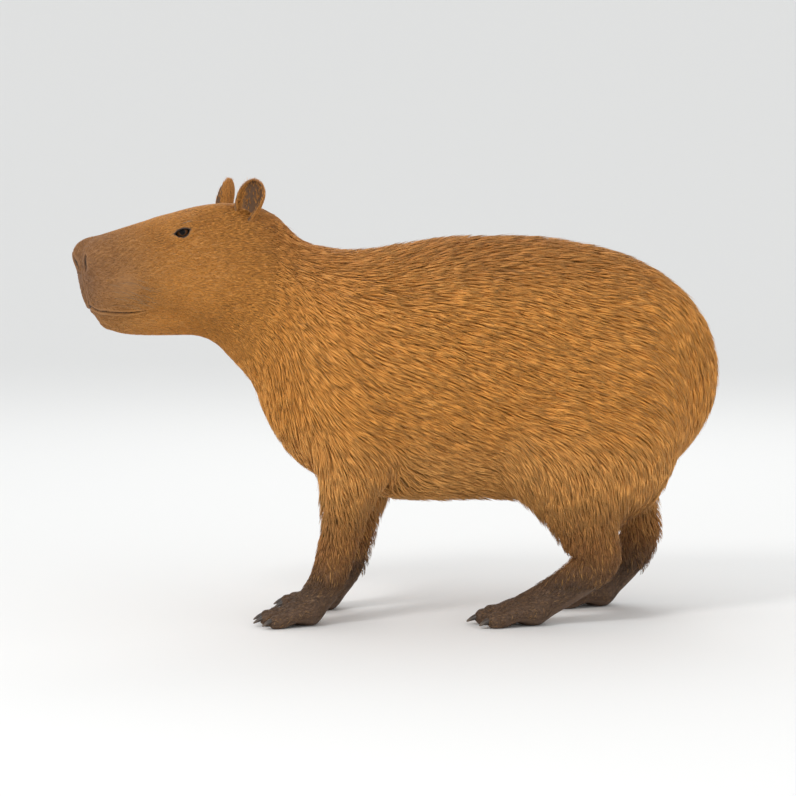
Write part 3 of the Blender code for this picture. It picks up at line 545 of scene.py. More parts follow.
# %% Grid, level set and slope
GRID_UNIT = 0.006
SLOPE_STEP, LARGEST_PULL = 0.0006, 0.006
GRID_AXES = (
    ((-0.620, 0.0034), (-0.300, 0.0048), (-0.230, 0.0085), (0.600, 0)),
    ((-0.210, 0.0080), (-0.130, 0.0046), (0.150, 0.0080), (0.210, 0)),
    ((-0.010, 0.0036), (0.090, 0.0065), (0.200, 0.0085), (0.520, 0.0044), (0.780, 0)),
)


def spaced(stops):
    """Coordinates from stop to stop, in even steps of about the size given for each stretch."""
    parts = []
    for (a, cell), (b, _) in zip(stops, stops[1:]):
        parts.append(np.linspace(a, b, max(2, int(round((b - a) / cell))), endpoint=False))
    return np.concatenate(parts + [[stops[-1][0]]])


def level_mesh(field, axes):
    """Zero surface of a field on a grid of uneven cells, as points and quads."""
    grid = np.meshgrid(*axes, indexing="ij")
    values = np.full(grid[0].shape, 1.0, np.float32)
    inner = (slice(1, -1),) * 3
    values[inner] = field([g[inner] for g in grid]) / GRID_UNIT
    volume = openvdb.FloatGrid(1.0)
    volume.copyFromArray(values)
    points, _, quads = volume.convertToPolygons(0.0)
    places = [np.interp(points[:, i], np.arange(len(axes[i])), axes[i]) for i in range(3)]
    return np.stack(places, axis=1), quads


def slopes(field, p):
    """Height over the surface and outward direction at points.

    A small step along each axis gives the field's slope. The direction is the slope over its
    length, and the height is the field over the same length.
    """
    value = field([p[:, i] for i in range(3)])
    grad = np.empty_like(p)
    for i in range(3):
        q = p.copy()
        q[:, i] += SLOPE_STEP
        grad[:, i] = (field([q[:, j] for j in range(3)]) - value) / SLOPE_STEP
    size = np.linalg.norm(grad, axis=1)
    return value / np.maximum(size, 0.2), grad / np.maximum(size, SMALL)[:, None]


def pulled(field, p, times):
    """Points moved back along the field's slope by their height, until they stand on the surface."""
    for _ in range(times):
        off, out = slopes(field, p)
        p = p - out * np.clip(off, -LARGEST_PULL, LARGEST_PULL)[:, None]
    return p


skin_points, skin_quads = level_mesh(flesh_field, [spaced(stops) for stops in GRID_AXES])
skin_points = pulled(flesh_field, skin_points, times=2)
print("skin grid:", len(skin_points), "points,", len(skin_quads), "quads")

# %% [markdown]
# ## Smaller faces where they show
#
# Lids, lips and toes need faces of a millimetre or two, the trunk doesn't. A finer grid would
# be fine everywhere and slow. Instead the chosen faces are cut in four, and those closest to
# the eyes, the nose and the mouth once more, and their points are pulled on again.

# %% Divide the skin at the face and the feet
FINE_BELOW = 0.044
FEATURE_REACH, EYE_REACH = 0.012, 0.024


def divided(work, wanted):
    """Cuts every edge of the chosen faces in two, which turns each of their quads into four."""
    edges = {edge for face in work.faces if wanted(face.calc_center_median()) for edge in face.edges}
    bmesh.ops.subdivide_edges(work, edges=list(edges), cuts=1, use_grid_fill=True)


def near_features(reach):
    """A test for points within reach of an eye, the nose or the mouth."""
    stops = np.vstack([mouth_line, nostril_line, lip_line, [EYE_AT]])
    sizes = np.array([FEATURE_REACH] * (len(stops) - 1) + [EYE_REACH]) * reach

    def wanted(at):
        h = in_head(at)
        h[1] = abs(h[1])
        return bool((np.linalg.norm(stops - h, axis=1) < sizes).any())

    return wanted


work = bmesh.new()
for co in skin_points:
    work.verts.new(co)
work.verts.ensure_lookup_table()
for quad in skin_quads:
    work.faces.new([work.verts[i] for i in quad])
divided(work, lambda at: at.z < FINE_BELOW or near_features(1.3)(at))
divided(work, near_features(0.9))
bmesh.ops.triangulate(work, faces=[face for face in work.faces if len(face.verts) > 4])
work.verts.index_update()
skin_points = np.array([v.co[:] for v in work.verts])
skin_faces = [[v.index for v in face.verts] for face in work.faces]
work.free()
skin_points = pulled(flesh_field, skin_points, times=3)
print("skin divided:", len(skin_points), "points,", sum(len(f) - 2 for f in skin_faces), "triangles")

# %% [markdown]
# ## Lids, nostrils, lips and the line of the mouth
#
# These could be cut with Booleans, but a cut leaves hard edges, and a living face has none.
# Each feature is a small move of the skin's points instead: inward where the opening is, and
# a little outward beside it, where a lid or a lip is thickest.

# %% Distances on the face
LID_OUT = unit(np.array((0.30, 0.92, 0.16)))
LID_LINE = np.array((1, 0, -0.10))
LID_ALONG = unit(LID_LINE - LID_OUT * (LID_OUT @ LID_LINE))
LID_RISE = np.cross(LID_ALONG, LID_OUT)


def bell(x, middle, wide):
    """A smooth bump, 1 at its middle: e to the power of minus the offset over wide, squared."""
    return np.exp(-(((x - middle) / wide) ** 2))


def to_line(p, line, radii):
    """Distance to a line of points over the radius there: 0 on the line, 1 at the radius."""
    best = np.full(len(p), 9.0)
    for a, b, r, s in zip(line, line[1:], radii, radii[1:]):
        t = np.clip((p - a) @ (b - a) / ((b - a) @ (b - a)), 0, 1)
        far = np.linalg.norm(p - a - t[:, None] * (b - a), axis=1)
        best = np.minimum(best, far / (r + t * (s - r)))
    return best


def eye_frame(h):
    """Places along the lids, up across them and outward from the eye's middle, in its radii."""
    return [(h - EYE_AT) @ axis / EYE_RADIUS for axis in (LID_ALONG, LID_RISE, LID_OUT)]


def lid_gap(x, y):
    """How far places lie above the gap of the lids, below it, and outside it in all.

    Half is 1 less the power 2.4 of x. The upper edge is 0.34 of it, nearly straight, and the
    lower edge is a deep curve, minus 0.66 of its power 0.9.
    """
    half = np.clip(1 - np.abs(x / 1.02) ** 2.4, 0, 1)
    above = y - (0.34 * half + 0.02)
    below = -0.66 * half**0.9 + 0.02 - y
    return above, below, np.maximum(np.maximum(above, below), np.abs(x) - 1.0)


above, below, _ = lid_gap(0.0, 0.0)
print("the gap of the lids is", round(-1000 * EYE_RADIUS * float(above + below), 1), "mm high")

# %% Moves of the face
LID_DEEP, LID_RIM, LID_FOLD = 0.0105, 0.0008, 0.0009
MOUTH_DEEP, PHILTRUM_DEEP, NOSTRIL_DEEP = 0.0050, 0.0034, 0.0115
LIP_SWELL, NOSTRIL_SWELL, PHILTRUM_SWELL = 0.0014, 0.0014, 0.0005
MOUTH_RADII = (0.0028, 0.0028, 0.0028, 0.0028, 0.0026, 0.0024, 0.0022, 0.0018, 0.0012)
LIP_RADII = (0.0014, 0.0020, 0.0022, 0.0023, 0.0028)
NOSTRIL_RADII = (0.0026, 0.0060, 0.0032)
INTO_NOSTRIL = np.array((-0.93, -0.10, -0.25))
# Centre, width and height of soft rises and hollows of muscle and bone
FACE_FORMS = (
    ((0.138, 0.046, 0.034), 0.019, -0.0022),
    ((0.078, 0.056, 0.018), 0.017, 0.0016),
    ((0.214, 0.050, -0.032), 0.026, 0.0016),
    ((0.172, 0.054, -0.046), 0.016, -0.0014),
    ((0.120, 0.052, -0.066), 0.016, -0.0016),
    ((0.045, 0.060, -0.040), 0.030, 0.0020),
    ((0.000, 0.060, 0.010), 0.020, -0.0018),
)
# Distance forward and depth of the folds of the throat
THROAT_FOLDS = ((0.052, 0.0014), (0.022, 0.0018), (-0.010, 0.0016))
FOLD_WIDE = 0.0055


def eye_moves(h):
    """How far each point moves along the way the eye looks: into the gap, out at its rim."""
    x, y, out = eye_frame(h)
    close = (out > 0.2) & (np.hypot(x, y) < 2.4)
    above, below, gap = lid_gap(x, y)
    open_ = ramp(-gap, 0.00, 0.13) * close
    move = -LID_DEEP * open_ + LID_RIM * bell(gap, 0.16, 0.14) * (1 - open_)
    fold = bell(above, 0.50, 0.09) * ramp(1.35 - np.abs(x), 0, 0.4)
    fold = fold + 0.7 * bell(below, 0.48, 0.10) * ramp(1.2 - np.abs(x), 0, 0.4)
    return (move - LID_FOLD * fold) * close


def relief(h):
    """Bells of height round each centre, less bells of depth along each fold of the throat."""
    rise = np.zeros(len(h))
    for centre, wide, high in FACE_FORMS:
        rise += high * np.exp(-(((h - centre) ** 2).sum(1)) / wide**2)
    for place, deep in THROAT_FOLDS:
        along = h[:, 0] - 0.5 * (h[:, 2] + 0.10)
        rise -= deep * bell(along, place, FOLD_WIDE) * ramp(-h[:, 2], 0.060, 0.085)
    return rise


def shaped(h, outward):
    """Points of the face after all its moves; outward is the way out of the skin at each."""
    mouth = to_line(h, mouth_line, MOUTH_RADII)
    philtrum = to_line(h, lip_line, LIP_RADII)
    nostril = to_line(h, nostril_line, NOSTRIL_RADII)
    groove = MOUTH_DEEP * np.clip(1 - mouth, 0, 1) ** 0.7
    groove = groove + PHILTRUM_DEEP * np.clip(1 - philtrum, 0, 1) ** 0.8
    swelling = LIP_SWELL * bell(mouth, 2.1, 0.8) + NOSTRIL_SWELL * bell(nostril, 1.55, 0.45)
    swelling = swelling + PHILTRUM_SWELL * bell(philtrum, 2.2, 0.7)
    pit = NOSTRIL_DEEP * np.clip(1 - nostril, 0, 1) ** 0.55
    h = h + outward * (relief(h) + swelling - groove)[:, None] + LID_OUT * eye_moves(h)[:, None]
    return h + INTO_NOSTRIL * pit[:, None]


def mirror_of(h):
    """Factors that bring points of the head's right half over to its left half."""
    return np.where(h[:, 1:2] < 0, (1.0, -1.0, 1.0), (1.0, 1.0, 1.0))


print("soft forms of the face:", len(FACE_FORMS), "and folds of the throat:", len(THROAT_FOLDS))

# %% Shape the face and rest the soles on the floor
SOLE_HEIGHT = 0.0006
face = in_head(skin_points)
mirror = mirror_of(face)
face = face * mirror
on_face = (face[:, 0] > -0.04) & (np.abs(face[:, 1]) < 0.12) & (np.abs(face[:, 2]) < 0.16)
_, outward = slopes(flesh_field, skin_points[on_face])
face[on_face] = shaped(face[on_face], (outward @ HEAD_AXES.T) * mirror[on_face])
skin_points = from_head(*(face * mirror).T)
skin_points[:, 2] = np.maximum(skin_points[:, 2], SOLE_HEIGHT)
print("face shaped:", int(on_face.sum()), "points")

# %% [markdown]
# ## The ears
#
# A capybara's ear is a small stiff cup, open forward and outward. It could be pressed into
# the skin's field, but its thin rim would need a very fine grid. It is a sweep instead: its
# section at each height is a C of even thickness with rounded ends, which narrows towards the
# top and leans back. A Boolean union then fuses it with the skin.

# %% Ear surface
EAR_ROWS, EAR_ARC = 34, 15
EAR_UP, EAR_OPEN = (-0.30, 0.34), (0.80, 0.60)
EAR_ROOT, EAR_TIP, EAR_LEAN = -0.32, 1.002, 0.012
EAR_WALL, EAR_THINNER, EAR_THICK_ROOT = 0.0040, 0.0014, 0.010
# Turn round the C and turn round its wall, for each point of a section
TO_END = np.linspace(-1, 1, EAR_ARC)
ARC_TURNS = np.concatenate([TO_END, np.ones(3), TO_END[::-1], -np.ones(3)])
ARC_CAPS = np.radians([0] * EAR_ARC + [45, 90, 135] + [180] * EAR_ARC + [225, 270, 315])


def ear_grid(side):
    """Rows of C-shaped sections from below the skin to the tip; side is 1 for the left ear.

    Each section is part of an ellipse, walked along its outer face, round its end, back along
    its inner face and round its other end. At height t the middle stands axis times t up, and
    leans back by the square of t.
    """
    base = from_head(EAR_AT[0], side * EAR_AT[1], EAR_AT[2])
    axis = unit(np.array((EAR_UP[0], EAR_UP[1] * side, 1.0)) @ HEAD_AXES)
    look = np.array((EAR_OPEN[0], EAR_OPEN[1] * side, 0.0)) @ HEAD_AXES
    look = unit(look - axis * (look @ axis))
    across = np.cross(axis, look)
    t = (EAR_ROOT + (EAR_TIP - EAR_ROOT) * (1 - (1 - np.linspace(0, 1, EAR_ROWS)) ** 1.35))[:, None]
    width = EAR_HALF_WIDTH * (0.78 + 0.22 * np.sin(np.pi * np.clip(t, 0, 0.60) / 1.20))
    width = width * np.sqrt(np.clip(1 - np.clip((t - 0.52) / 0.49, 0, 1) ** 2.4, 0.0004, 1))
    deep = (0.72 - 0.22 * t) * width
    wall = np.minimum(EAR_WALL - EAR_THINNER * t, 0.42 * width) + EAR_THICK_ROOT * np.clip(0.30 - t, 0, 1)
    middle = base + axis * EAR_HEIGHT * t[..., None] - look * EAR_LEAN * (t * t)[..., None]
    a = np.radians(125 - 45 * t) * ARC_TURNS
    sine, cosine = np.sin(a)[..., None], np.cos(a)[..., None]
    core = across * (width - wall / 2)[..., None] * sine - look * (deep - wall / 2)[..., None] * cosine
    out, along = across * sine - look * cosine, across * cosine + look * sine
    ring = out * np.cos(ARC_CAPS)[:, None] + along * np.sin(ARC_CAPS)[:, None]
    return middle + core + ring * (wall / 2)[..., None]


def closed_grid(grid):
    """Points and quads of rows of closed rings, with a fan to a middle point at both ends."""
    rows, around = grid.shape[:2]
    points = np.vstack([grid.reshape(-1, 3), grid[:1].mean(1), grid[-1:].mean(1)])
    i, j = np.meshgrid(np.arange(rows - 1), np.arange(around), indexing="ij")
    k = (j + 1) % around
    corners = [i * around + j, i * around + k, (i + 1) * around + k, (i + 1) * around + j]
    quads = np.stack(corners, -1).reshape(-1, 4)
    j, k, top = np.arange(around), (np.arange(around) + 1) % around, (rows - 1) * around
    low = np.stack([np.full(around, rows * around), k, j], 1)
    high = np.stack([np.full(around, rows * around + 1), top + j, top + k], 1)
    return points, [list(q) for q in quads] + [list(t) for t in np.vstack([low, high])]


print("ear sections:", ear_grid(1).shape)

# %% Fuse the ears with the skin
FLESH = ["head", "neck", "torso", "rump"]
for part in ("ear", "foreleg", "hindleg", "forepaw", "hindpaw"):
    FLESH += [part + "_left", part + "_right"]


def placed(name, mesh):
    """A smooth object of this mesh, which stays with the body root."""
    mesh.shade_smooth()
    piece = bpy.data.objects.new(name, mesh)
    bpy.context.scene.collection.objects.link(piece)
    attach(piece, "root")
    return piece


def from_lists(name, points, faces, slot):
    """Piece from points and faces of mixed size, with its faces turned outward."""
    mesh = bpy.data.meshes.new(name)
    mesh.from_pydata((np.asarray(points) - SHIFT).tolist(), [], faces)
    work = bmesh.new()
    work.from_mesh(mesh)
    bmesh.ops.recalc_face_normals(work, faces=work.faces)
    work.to_mesh(mesh)
    work.free()
    return placed(name, mesh)


skin = from_lists("skin", skin_points, skin_faces, "coat")
for side in (1, -1):
    ear = from_lists("ear_cup", *closed_grid(ear_grid(side)), "skin")
    union = skin.modifiers.new("ear", "BOOLEAN")
    union.operation, union.solver, union.object = "UNION", "MANIFOLD", ear
    graph = bpy.context.evaluated_depsgraph_get()
    fused = bpy.data.meshes.new_from_object(skin.evaluated_get(graph))
    skin.modifiers.clear()
    skin.data = fused
    bpy.data.objects.remove(ear)
skin.data.shade_smooth()
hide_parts(*FLESH)
print("skin with ears:", len(skin.data.polygons), "faces")

# %% [markdown]
# ## A small language for materials
#
# A finish is a few dozen shader nodes. They can be added and linked one by one, but they are
# clearer as sums. A Value wraps one socket, and each operator on it adds one Math node. A
# Finish is one material: its add method makes any node from its type, its settings and its
# sockets, and paint() sends the results to the Principled shader.

# %% Values
class Value:
    """A number socket that can be added, subtracted, multiplied and raised to a power."""

    def __init__(self, finish, socket):
        self.finish, self.socket = finish, socket

    def __add__(self, other):
        return self.finish.math("ADD", self, other)

    def __sub__(self, other):
        return self.finish.math("SUBTRACT", self, other)

    def __rsub__(self, other):
        return self.finish.math("SUBTRACT", other, self)

    def __mul__(self, other):
        return self.finish.math("MULTIPLY", self, other)

    def __pow__(self, other):
        return self.finish.math("POWER", self, other)

    __radd__, __rmul__ = __add__, __mul__


OPERATORS = ("add__", "sub__", "mul__", "pow__")
print("operators of a Value:", [name.strip("_") for name in vars(Value) if name.endswith(OPERATORS)])

# %% Finishes
class Finish:
    """One material, with a method for every kind of node that this file uses."""

    def __init__(self, name, roughness=0.6, **numbers):
        self.material = bpy.data.materials.new(name)
        self.material.use_nodes = True
        self.tree = self.material.node_tree
        self.shader = self.tree.nodes["Principled BSDF"]
        self.shader.inputs["Roughness"].default_value = roughness
        for socket, number in numbers.items():
            self.shader.inputs[socket.replace("_", " ")].default_value = number

    def add(self, kind, settings=None, sockets=None, output=0):
        """A node of this kind, with its settings set first, then its sockets; gives one output."""
        node = self.tree.nodes.new(kind)
        for key, setting in (settings or {}).items():
            setattr(node, key, setting)
        for key, given in (sockets or {}).items():
            if isinstance(given, Value):
                self.tree.links.new(given.socket, node.inputs[key])
            else:
                node.inputs[key].default_value = given
        return Value(self, node.outputs[output])

    def math(self, operation, a, b):
        """One Math node on values or numbers."""
        return self.add("ShaderNodeMath", {"operation": operation}, {0: a, 1: b})

    def smooth(self, value, low, high):
        """Smooth step of a value from 0 at low to 1 at high."""
        sockets = {"Value": value, "From Min": low, "From Max": high}
        return self.add("ShaderNodeMapRange", {"interpolation_type": "SMOOTHSTEP"}, sockets)

    def mix(self, factor, a, b):
        """Mix of two colours; a colour is a socket or three numbers."""
        a, b = [c if isinstance(c, Value) else (*c, 1) for c in (a, b)]
        return self.add("ShaderNodeMix", {"data_type": "RGBA"}, {0: factor, 6: a, 7: b}, output=2)

    def noise(self, vector, scale, detail=2.0, rough=0.5):
        """Noise between 0 and 1."""
        sockets = {"Vector": vector, "Scale": scale, "Detail": detail, "Roughness": rough}
        return self.add("ShaderNodeTexNoise", None, sockets)

    def vector(self, x, y, z):
        """A vector put together from three values."""
        return self.add("ShaderNodeCombineXYZ", None, {0: x, 1: y, 2: z})

    def apart(self, vector):
        """The three parts of a vector."""
        first = self.add("ShaderNodeSeparateXYZ", None, {0: vector})
        return [Value(self, socket) for socket in first.socket.node.outputs]

    def place(self):
        """Object coordinates."""
        return self.add("ShaderNodeTexCoord", output="Object")

    def attribute(self, name):
        """A vector stored on the mesh's points."""
        return self.add("ShaderNodeAttribute", {"attribute_name": name}, output="Vector")

    def paint(self, colour, roughness=None, height=None, strength=0.3, distance=0.001):
        """Sends colour, roughness and a bump of this height to the shader."""
        self.tree.links.new(colour.socket, self.shader.inputs["Base Color"])
        if roughness is not None:
            self.tree.links.new(roughness.socket, self.shader.inputs["Roughness"])
        if height is not None:
            sockets = {"Height": height, "Strength": strength, "Distance": distance}
            bump = self.add("ShaderNodeBump", None, sockets)
            self.tree.links.new(bump.socket, self.shader.inputs["Normal"])
        print(self.material.name, "has", len(self.tree.nodes), "nodes")
        return self.material


print("a Finish makes:", [name for name in vars(Finish) if not name.startswith("_")])

# %% [markdown]
# ## Markings
#
# A capybara is a warm brown, darker along the back and on the muzzle, paler and yellower on
# the belly, with dark lower legs and feet. The colours could be painted on by hand. Here they
# follow the height over the floor and the distance from the nose, and skin and hair share
# them, so that thin places in the coat don't show.

# %% Colours by place on the body
BACK = (0.500, 0.200, 0.044)
FLANK = (0.780, 0.340, 0.064)
BELLY = (0.800, 0.385, 0.100)
MUZZLE = (0.300, 0.135, 0.050)
LEG = (0.400, 0.170, 0.046)
FOOT = (0.085, 0.052, 0.034)
# Height where a colour starts and where it is full
HEIGHT_BANDS = ((0.24, 0.36, FLANK), (0.50, 0.67, BACK), (0.25, 0.13, LEG), (0.145, 0.050, FOOT))
NOSE_TIP = from_head(HEAD_LENGTH, 0, -0.005) - SHIFT


def markings(finish):
    """Bands of colour by a noisy height, then by a noisy distance from the tip of the nose."""
    place = finish.place()
    _, _, z = finish.apart(place)
    z = z + (finish.noise(place, 14, 3) - 0.5) * 0.07
    colour = BELLY
    for start, full, band in HEIGHT_BANDS:
        colour = finish.mix(finish.smooth(z, start, full), colour, band)
    ends = {0: place, 1: tuple(NOSE_TIP)}
    off = finish.add("ShaderNodeVectorMath", {"operation": "DISTANCE"}, ends, output="Value")
    off = off + (finish.noise(place, 30, 2) - 0.5) * 0.03
    colour = finish.mix(finish.smooth(off, 0.40, 0.26) * 0.65, colour, FLANK)
    return finish.mix(finish.smooth(off, 0.17, 0.02), colour, MUZZLE)


print("bands of colour up the body:", len(HEIGHT_BANDS))

# %% [markdown]
# ## The way the hair lies
#
# Every hair of a standing animal points away from the nose: back over the head and along the
# trunk, down the neck, the rump and the legs, and forward again over the toes. It could be
# combed with a brush on the mesh. As a function of place it is smooth everywhere, gives the
# same coat on each run, and can be asked again at every step along a hair.

# %% Lie of the hair
HEAD_BASE = 0.42
ALONG_RUMP = np.array((0.25, 0, -1.0))
ALONG_NECK = np.array((0.75, 0, -0.55))
ALONG_BREAST = np.array((0.35, 0, -1.0))
ALONG_LEG = np.array((0.12, 0, -1.0))
ALONG_TOES = np.array((-1.0, 0, -0.30))


def blended(a, b, share):
    """A mix of two directions, by a share for each point."""
    return a + (b - a) * np.asarray(share)[:, None]


def lie(p):
    """Direction of the hair at points, not yet laid along the skin: one mix after another."""
    x, y, z = p.T
    side = np.abs(y)
    way = np.stack([np.ones(len(p)), np.zeros(len(p)), -0.10 - 0.35 * ramp(side, 0.06, 0.15)], 1)
    way = blended(way, ALONG_RUMP, ramp(x, 0.36, 0.50))
    way = blended(way, ALONG_NECK, 1 - ramp(x, -0.16, 0.02))
    breast = (1 - ramp(x + 0.45 * (z - 0.30), -0.20, -0.06)) * (1 - ramp(z, 0.42, 0.60))
    way = blended(way, ALONG_BREAST, breast)
    flank = ramp(x, -0.03, 0.04) * (1 - ramp(x, 0.15, 0.22)) * ramp(z, 0.15, 0.20)
    leg = (1 - ramp(z, 0.235, 0.36)) * ramp(side, 0.03, 0.06) * (1 - flank)
    way = blended(way, ALONG_LEG, leg)
    way = blended(way, ALONG_TOES, 1 - ramp(z, 0.045, 0.085))
    h = in_head(p)
    fall = 0.30 * HEAD_UP * ramp(np.abs(h[:, 1]), 0.03, 0.07)[:, None]
    face = -HEAD_FORWARD[None, :] - fall * ramp(0.12 - h[:, 0], 0, 0.1)[:, None]
    head = (1 - ramp(behind_head(p.T), -0.03, 0.05)) * ramp(z, 0.40, 0.46)
    return blended(way, face, head)


def ear_lie(p):
    """Direction of the hair on the ears: from the base to the tip."""
    return np.tile(HEAD_UP - 0.4 * HEAD_FORWARD, (len(p), 1))


def laid(way, out, turn):
    """A way laid along the skin, whose outward direction is out, and turned sideways by turn.

    The part of the way that points outward is taken off, and turn times the sideways
    direction is added.
    """
    way = unit(way - out * (way * out).sum(1)[:, None])
    return unit(way + np.cross(out, way) * np.asarray(turn)[..., None])


def waves(p, seed):
    """A smooth random number for each point, about -1 to 1: four slanting sine waves added."""
    random = np.random.default_rng(seed)
    total = np.zeros(len(p))
    for size in (11.0, 17.0, 29.0, 47.0):
        total += np.sin(p @ (random.normal(0, 1, 3) * size) + random.uniform(0, 6.28)) * (11.0 / size) ** 0.5
    return total / 2.4


flank = np.array([[0.15, -0.15, 0.45]])
print("on the flank the hair points", np.round(lie(flank)[0], 2))

# %% The skin laid flat
LEG_TOP, FOOT_TOP = 0.215, 0.070
TRUNK_AXIS, HEAD_AXIS = 0.43, -0.02
TRUNK_ROUND, HEAD_ROUND, LEG_ROUND = 0.16, 0.07, 0.04


def leg_axis(p):
    """Middle of the nearest leg at each point's height."""
    best = np.full(len(p), 9.0)
    axis_x, axis_y = np.zeros(len(p)), np.zeros(len(p))
    for kind, side in LEGS:
        rows = np.array(leg_rows(kind, side))[::-1]
        x, y = [np.interp(p[:, 2], rows[:, 2], rows[:, i]) for i in (0, 1)]
        far = np.hypot(p[:, 0] - x, p[:, 1] - y)
        axis_x, axis_y = np.where(far < best, x, axis_x), np.where(far < best, y, axis_y)
        best = np.minimum(best, far)
    return axis_x, axis_y


def unwrapped(p):
    """Place of points on the skin laid flat: distance along the part's line, and round it.

    Round is the angle about the line of the trunk, the head or the leg times its radius, and
    at the blunt ends of trunk and head the closeness to the line is added to along.
    """
    x, y, z = p.T
    radius = np.hypot(y, z - TRUNK_AXIS)
    along = x + np.clip(x - 0.15, -0.25, 0.25) * 4 * (0.20 - radius)
    around = np.arctan2(y, z - TRUNK_AXIS) * TRUNK_ROUND
    forward, left, up = in_head(p).T
    on_head = (z > HEAD_BASE) & (behind_head(p.T) < -0.005)
    radius = np.hypot(left, up - HEAD_AXIS)
    muzzle = np.clip(forward - 0.15, 0, 1) * 5 * (0.07 - radius)
    along = np.where(on_head, 0.8 - forward - muzzle, along)
    around = np.where(on_head, np.arctan2(left, up - HEAD_AXIS) * HEAD_ROUND, around)
    axis_x, axis_y = leg_axis(p)
    along = np.where(z < LEG_TOP, z, along)
    around = np.where(z < LEG_TOP, np.arctan2(y - axis_y, x - axis_x) * LEG_ROUND, around)
    return np.where(z < FOOT_TOP, x, along), np.where(z < FOOT_TOP, y, around)


print("the animal laid flat is", round(float(np.ptp(unwrapped(skin_points)[0])), 2), "m long")

# %% [markdown]
# ## The hide
#
# Under the thin hair of the face and the feet the hide shows, streaked along the lie of the
# hair, and it is bare and nearly black round the eyes, in the nostrils, at the lips and in
# the cups of the ears. A picture of hair would repeat and blur. The streaks are noise instead,
# stretched along the skin laid flat, and how bare a point is goes with it as a third number.

# %% Bare places and stored vectors
def stored(mesh, name, values):
    """Stores a vector for each point of a mesh."""
    flat = np.asarray(values, np.float32).ravel()
    mesh.attributes.new(name, "FLOAT_VECTOR", "POINT").data.foreach_set("vector", flat)


def vectors_of(mesh, name):
    """Places or normals of a mesh's points, as rows."""
    flat = np.empty(len(mesh.vertices) * 3, np.float32)
    mesh.vertices.foreach_get(name, flat)
    return flat.reshape(-1, 3)


def bareness(p, wide=1.0):
    """1 in and beside the lids, the mouth and the nostrils, 0 where hair grows; wide is the reach."""
    h = in_head(p)
    h = h * mirror_of(h)
    x, y, out = eye_frame(h)
    above, _, gap = lid_gap(x, y)
    liner = bell(above, 0.08, 0.13) * ramp(1.55 - np.abs(x), 0, 0.5)
    lids = np.maximum(ramp(0.24 - gap, 0, 0.15), liner) * ((out > -0.8) & (np.hypot(x, y) < 2.4))
    parts = [lids, ramp(-flesh_field(list(p.T)), 0.0010, 0.0024)]
    for line, radii, reach in (
        (mouth_line, MOUTH_RADII, 1.10),
        (nostril_line, NOSTRIL_RADII, 1.50),
        (lip_line, LIP_RADII, 1.25),
    ):
        parts.append(ramp(reach * wide - to_line(h, line, radii), 0, 0.3))
    return np.maximum.reduce(parts) * ((h[:, 0] > 0.02) & (p[:, 2] > HEAD_BASE))


def on_ear(p):
    """True for points that stand clear of the head's own surface, behind the eyes."""
    return (flesh_field(list(p.T)) > 0.0016) & (p[:, 2] > 0.66) & (in_head(p)[:, 0] < 0.05)


hide_points = vectors_of(skin.data, "co").astype(float) + SHIFT
along, around = unwrapped(hide_points)
cup = ramp(vectors_of(skin.data, "normal") @ HEAD_FORWARD, 0.1, 0.5)
bare = np.maximum(bareness(hide_points, 0.72), (0.30 + 0.50 * cup) * on_ear(hide_points))
stored(skin.data, "lie", np.stack([along, around, bare], 1))
print("bare points of the skin:", int((bare > 0.5).sum()))

# %% Hide finish
HIDE_SHADE = (0.110, 0.050, 0.022)
DARK_STREAK = (0.100, 0.048, 0.020)
PALE_STREAK = (0.720, 0.400, 0.140)
BARE_HIDE = (0.016, 0.010, 0.008)


def hide_finish():
    """The markings with two sizes of streaks along the lie, dark where the hide is bare."""
    finish = Finish("hide")
    along, around, bare = finish.apart(finish.attribute("lie"))
    streak = finish.noise(finish.vector(along * 75, around * 850, 0.0), 1.0, 2, 0.6)
    fine = finish.noise(finish.vector(along * 150, around * 2100, 4.0), 1.0, 2, 0.6)
    pores = finish.noise(finish.place(), 420, 2)
    colour = finish.mix(0.30, markings(finish), HIDE_SHADE)
    colour = finish.mix(finish.smooth(streak, 0.42, 0.68) * 0.50, colour, DARK_STREAK)
    colour = finish.mix(finish.smooth(fine, 0.52, 0.72) * 0.32, colour, PALE_STREAK)
    colour = finish.mix(bare, colour, BARE_HIDE)
    height = streak * 0.6 + fine * 0.5 + pores * 0.2
    return finish.paint(colour, 0.75 - bare * 0.10, height, 0.8, 0.0010)


skin.data.materials.clear()
skin.data.materials.append(hide_finish())

# %% [markdown]
# ## Where hair can grow
#
# The coat is long and coarse on the trunk and the neck, shorter on the legs, and as short as
# plush on the face, the ears and the feet. It could be one huge mesh. Zones of the skin's
# triangles keep each piece small, and let each have its own density and length.

# %% Zones of the skin
CUP_HAIRY = 0.16
LEGS_PART, FLANK_FROM, FLANK_TO = 0.06, 0.08, 0.28
# A point of the plane where the neck ends, and the way the plane faces, as x and z
NECK_END, NECK_END_WAY = (-0.150, 0.47), (0.92, -0.34)

skin.data.calc_loop_triangles()
triangles = np.empty(len(skin.data.loop_triangles) * 3, np.int32)
skin.data.loop_triangles.foreach_get("vertices", triangles)
corners = hide_points[triangles.reshape(-1, 3)]
middles = corners.mean(1)
facing = np.cross(corners[:, 1] - corners[:, 0], corners[:, 2] - corners[:, 0])
areas = np.linalg.norm(facing, axis=1) / 2
facing = facing / np.maximum(2 * areas, SMALLEST)[:, None]

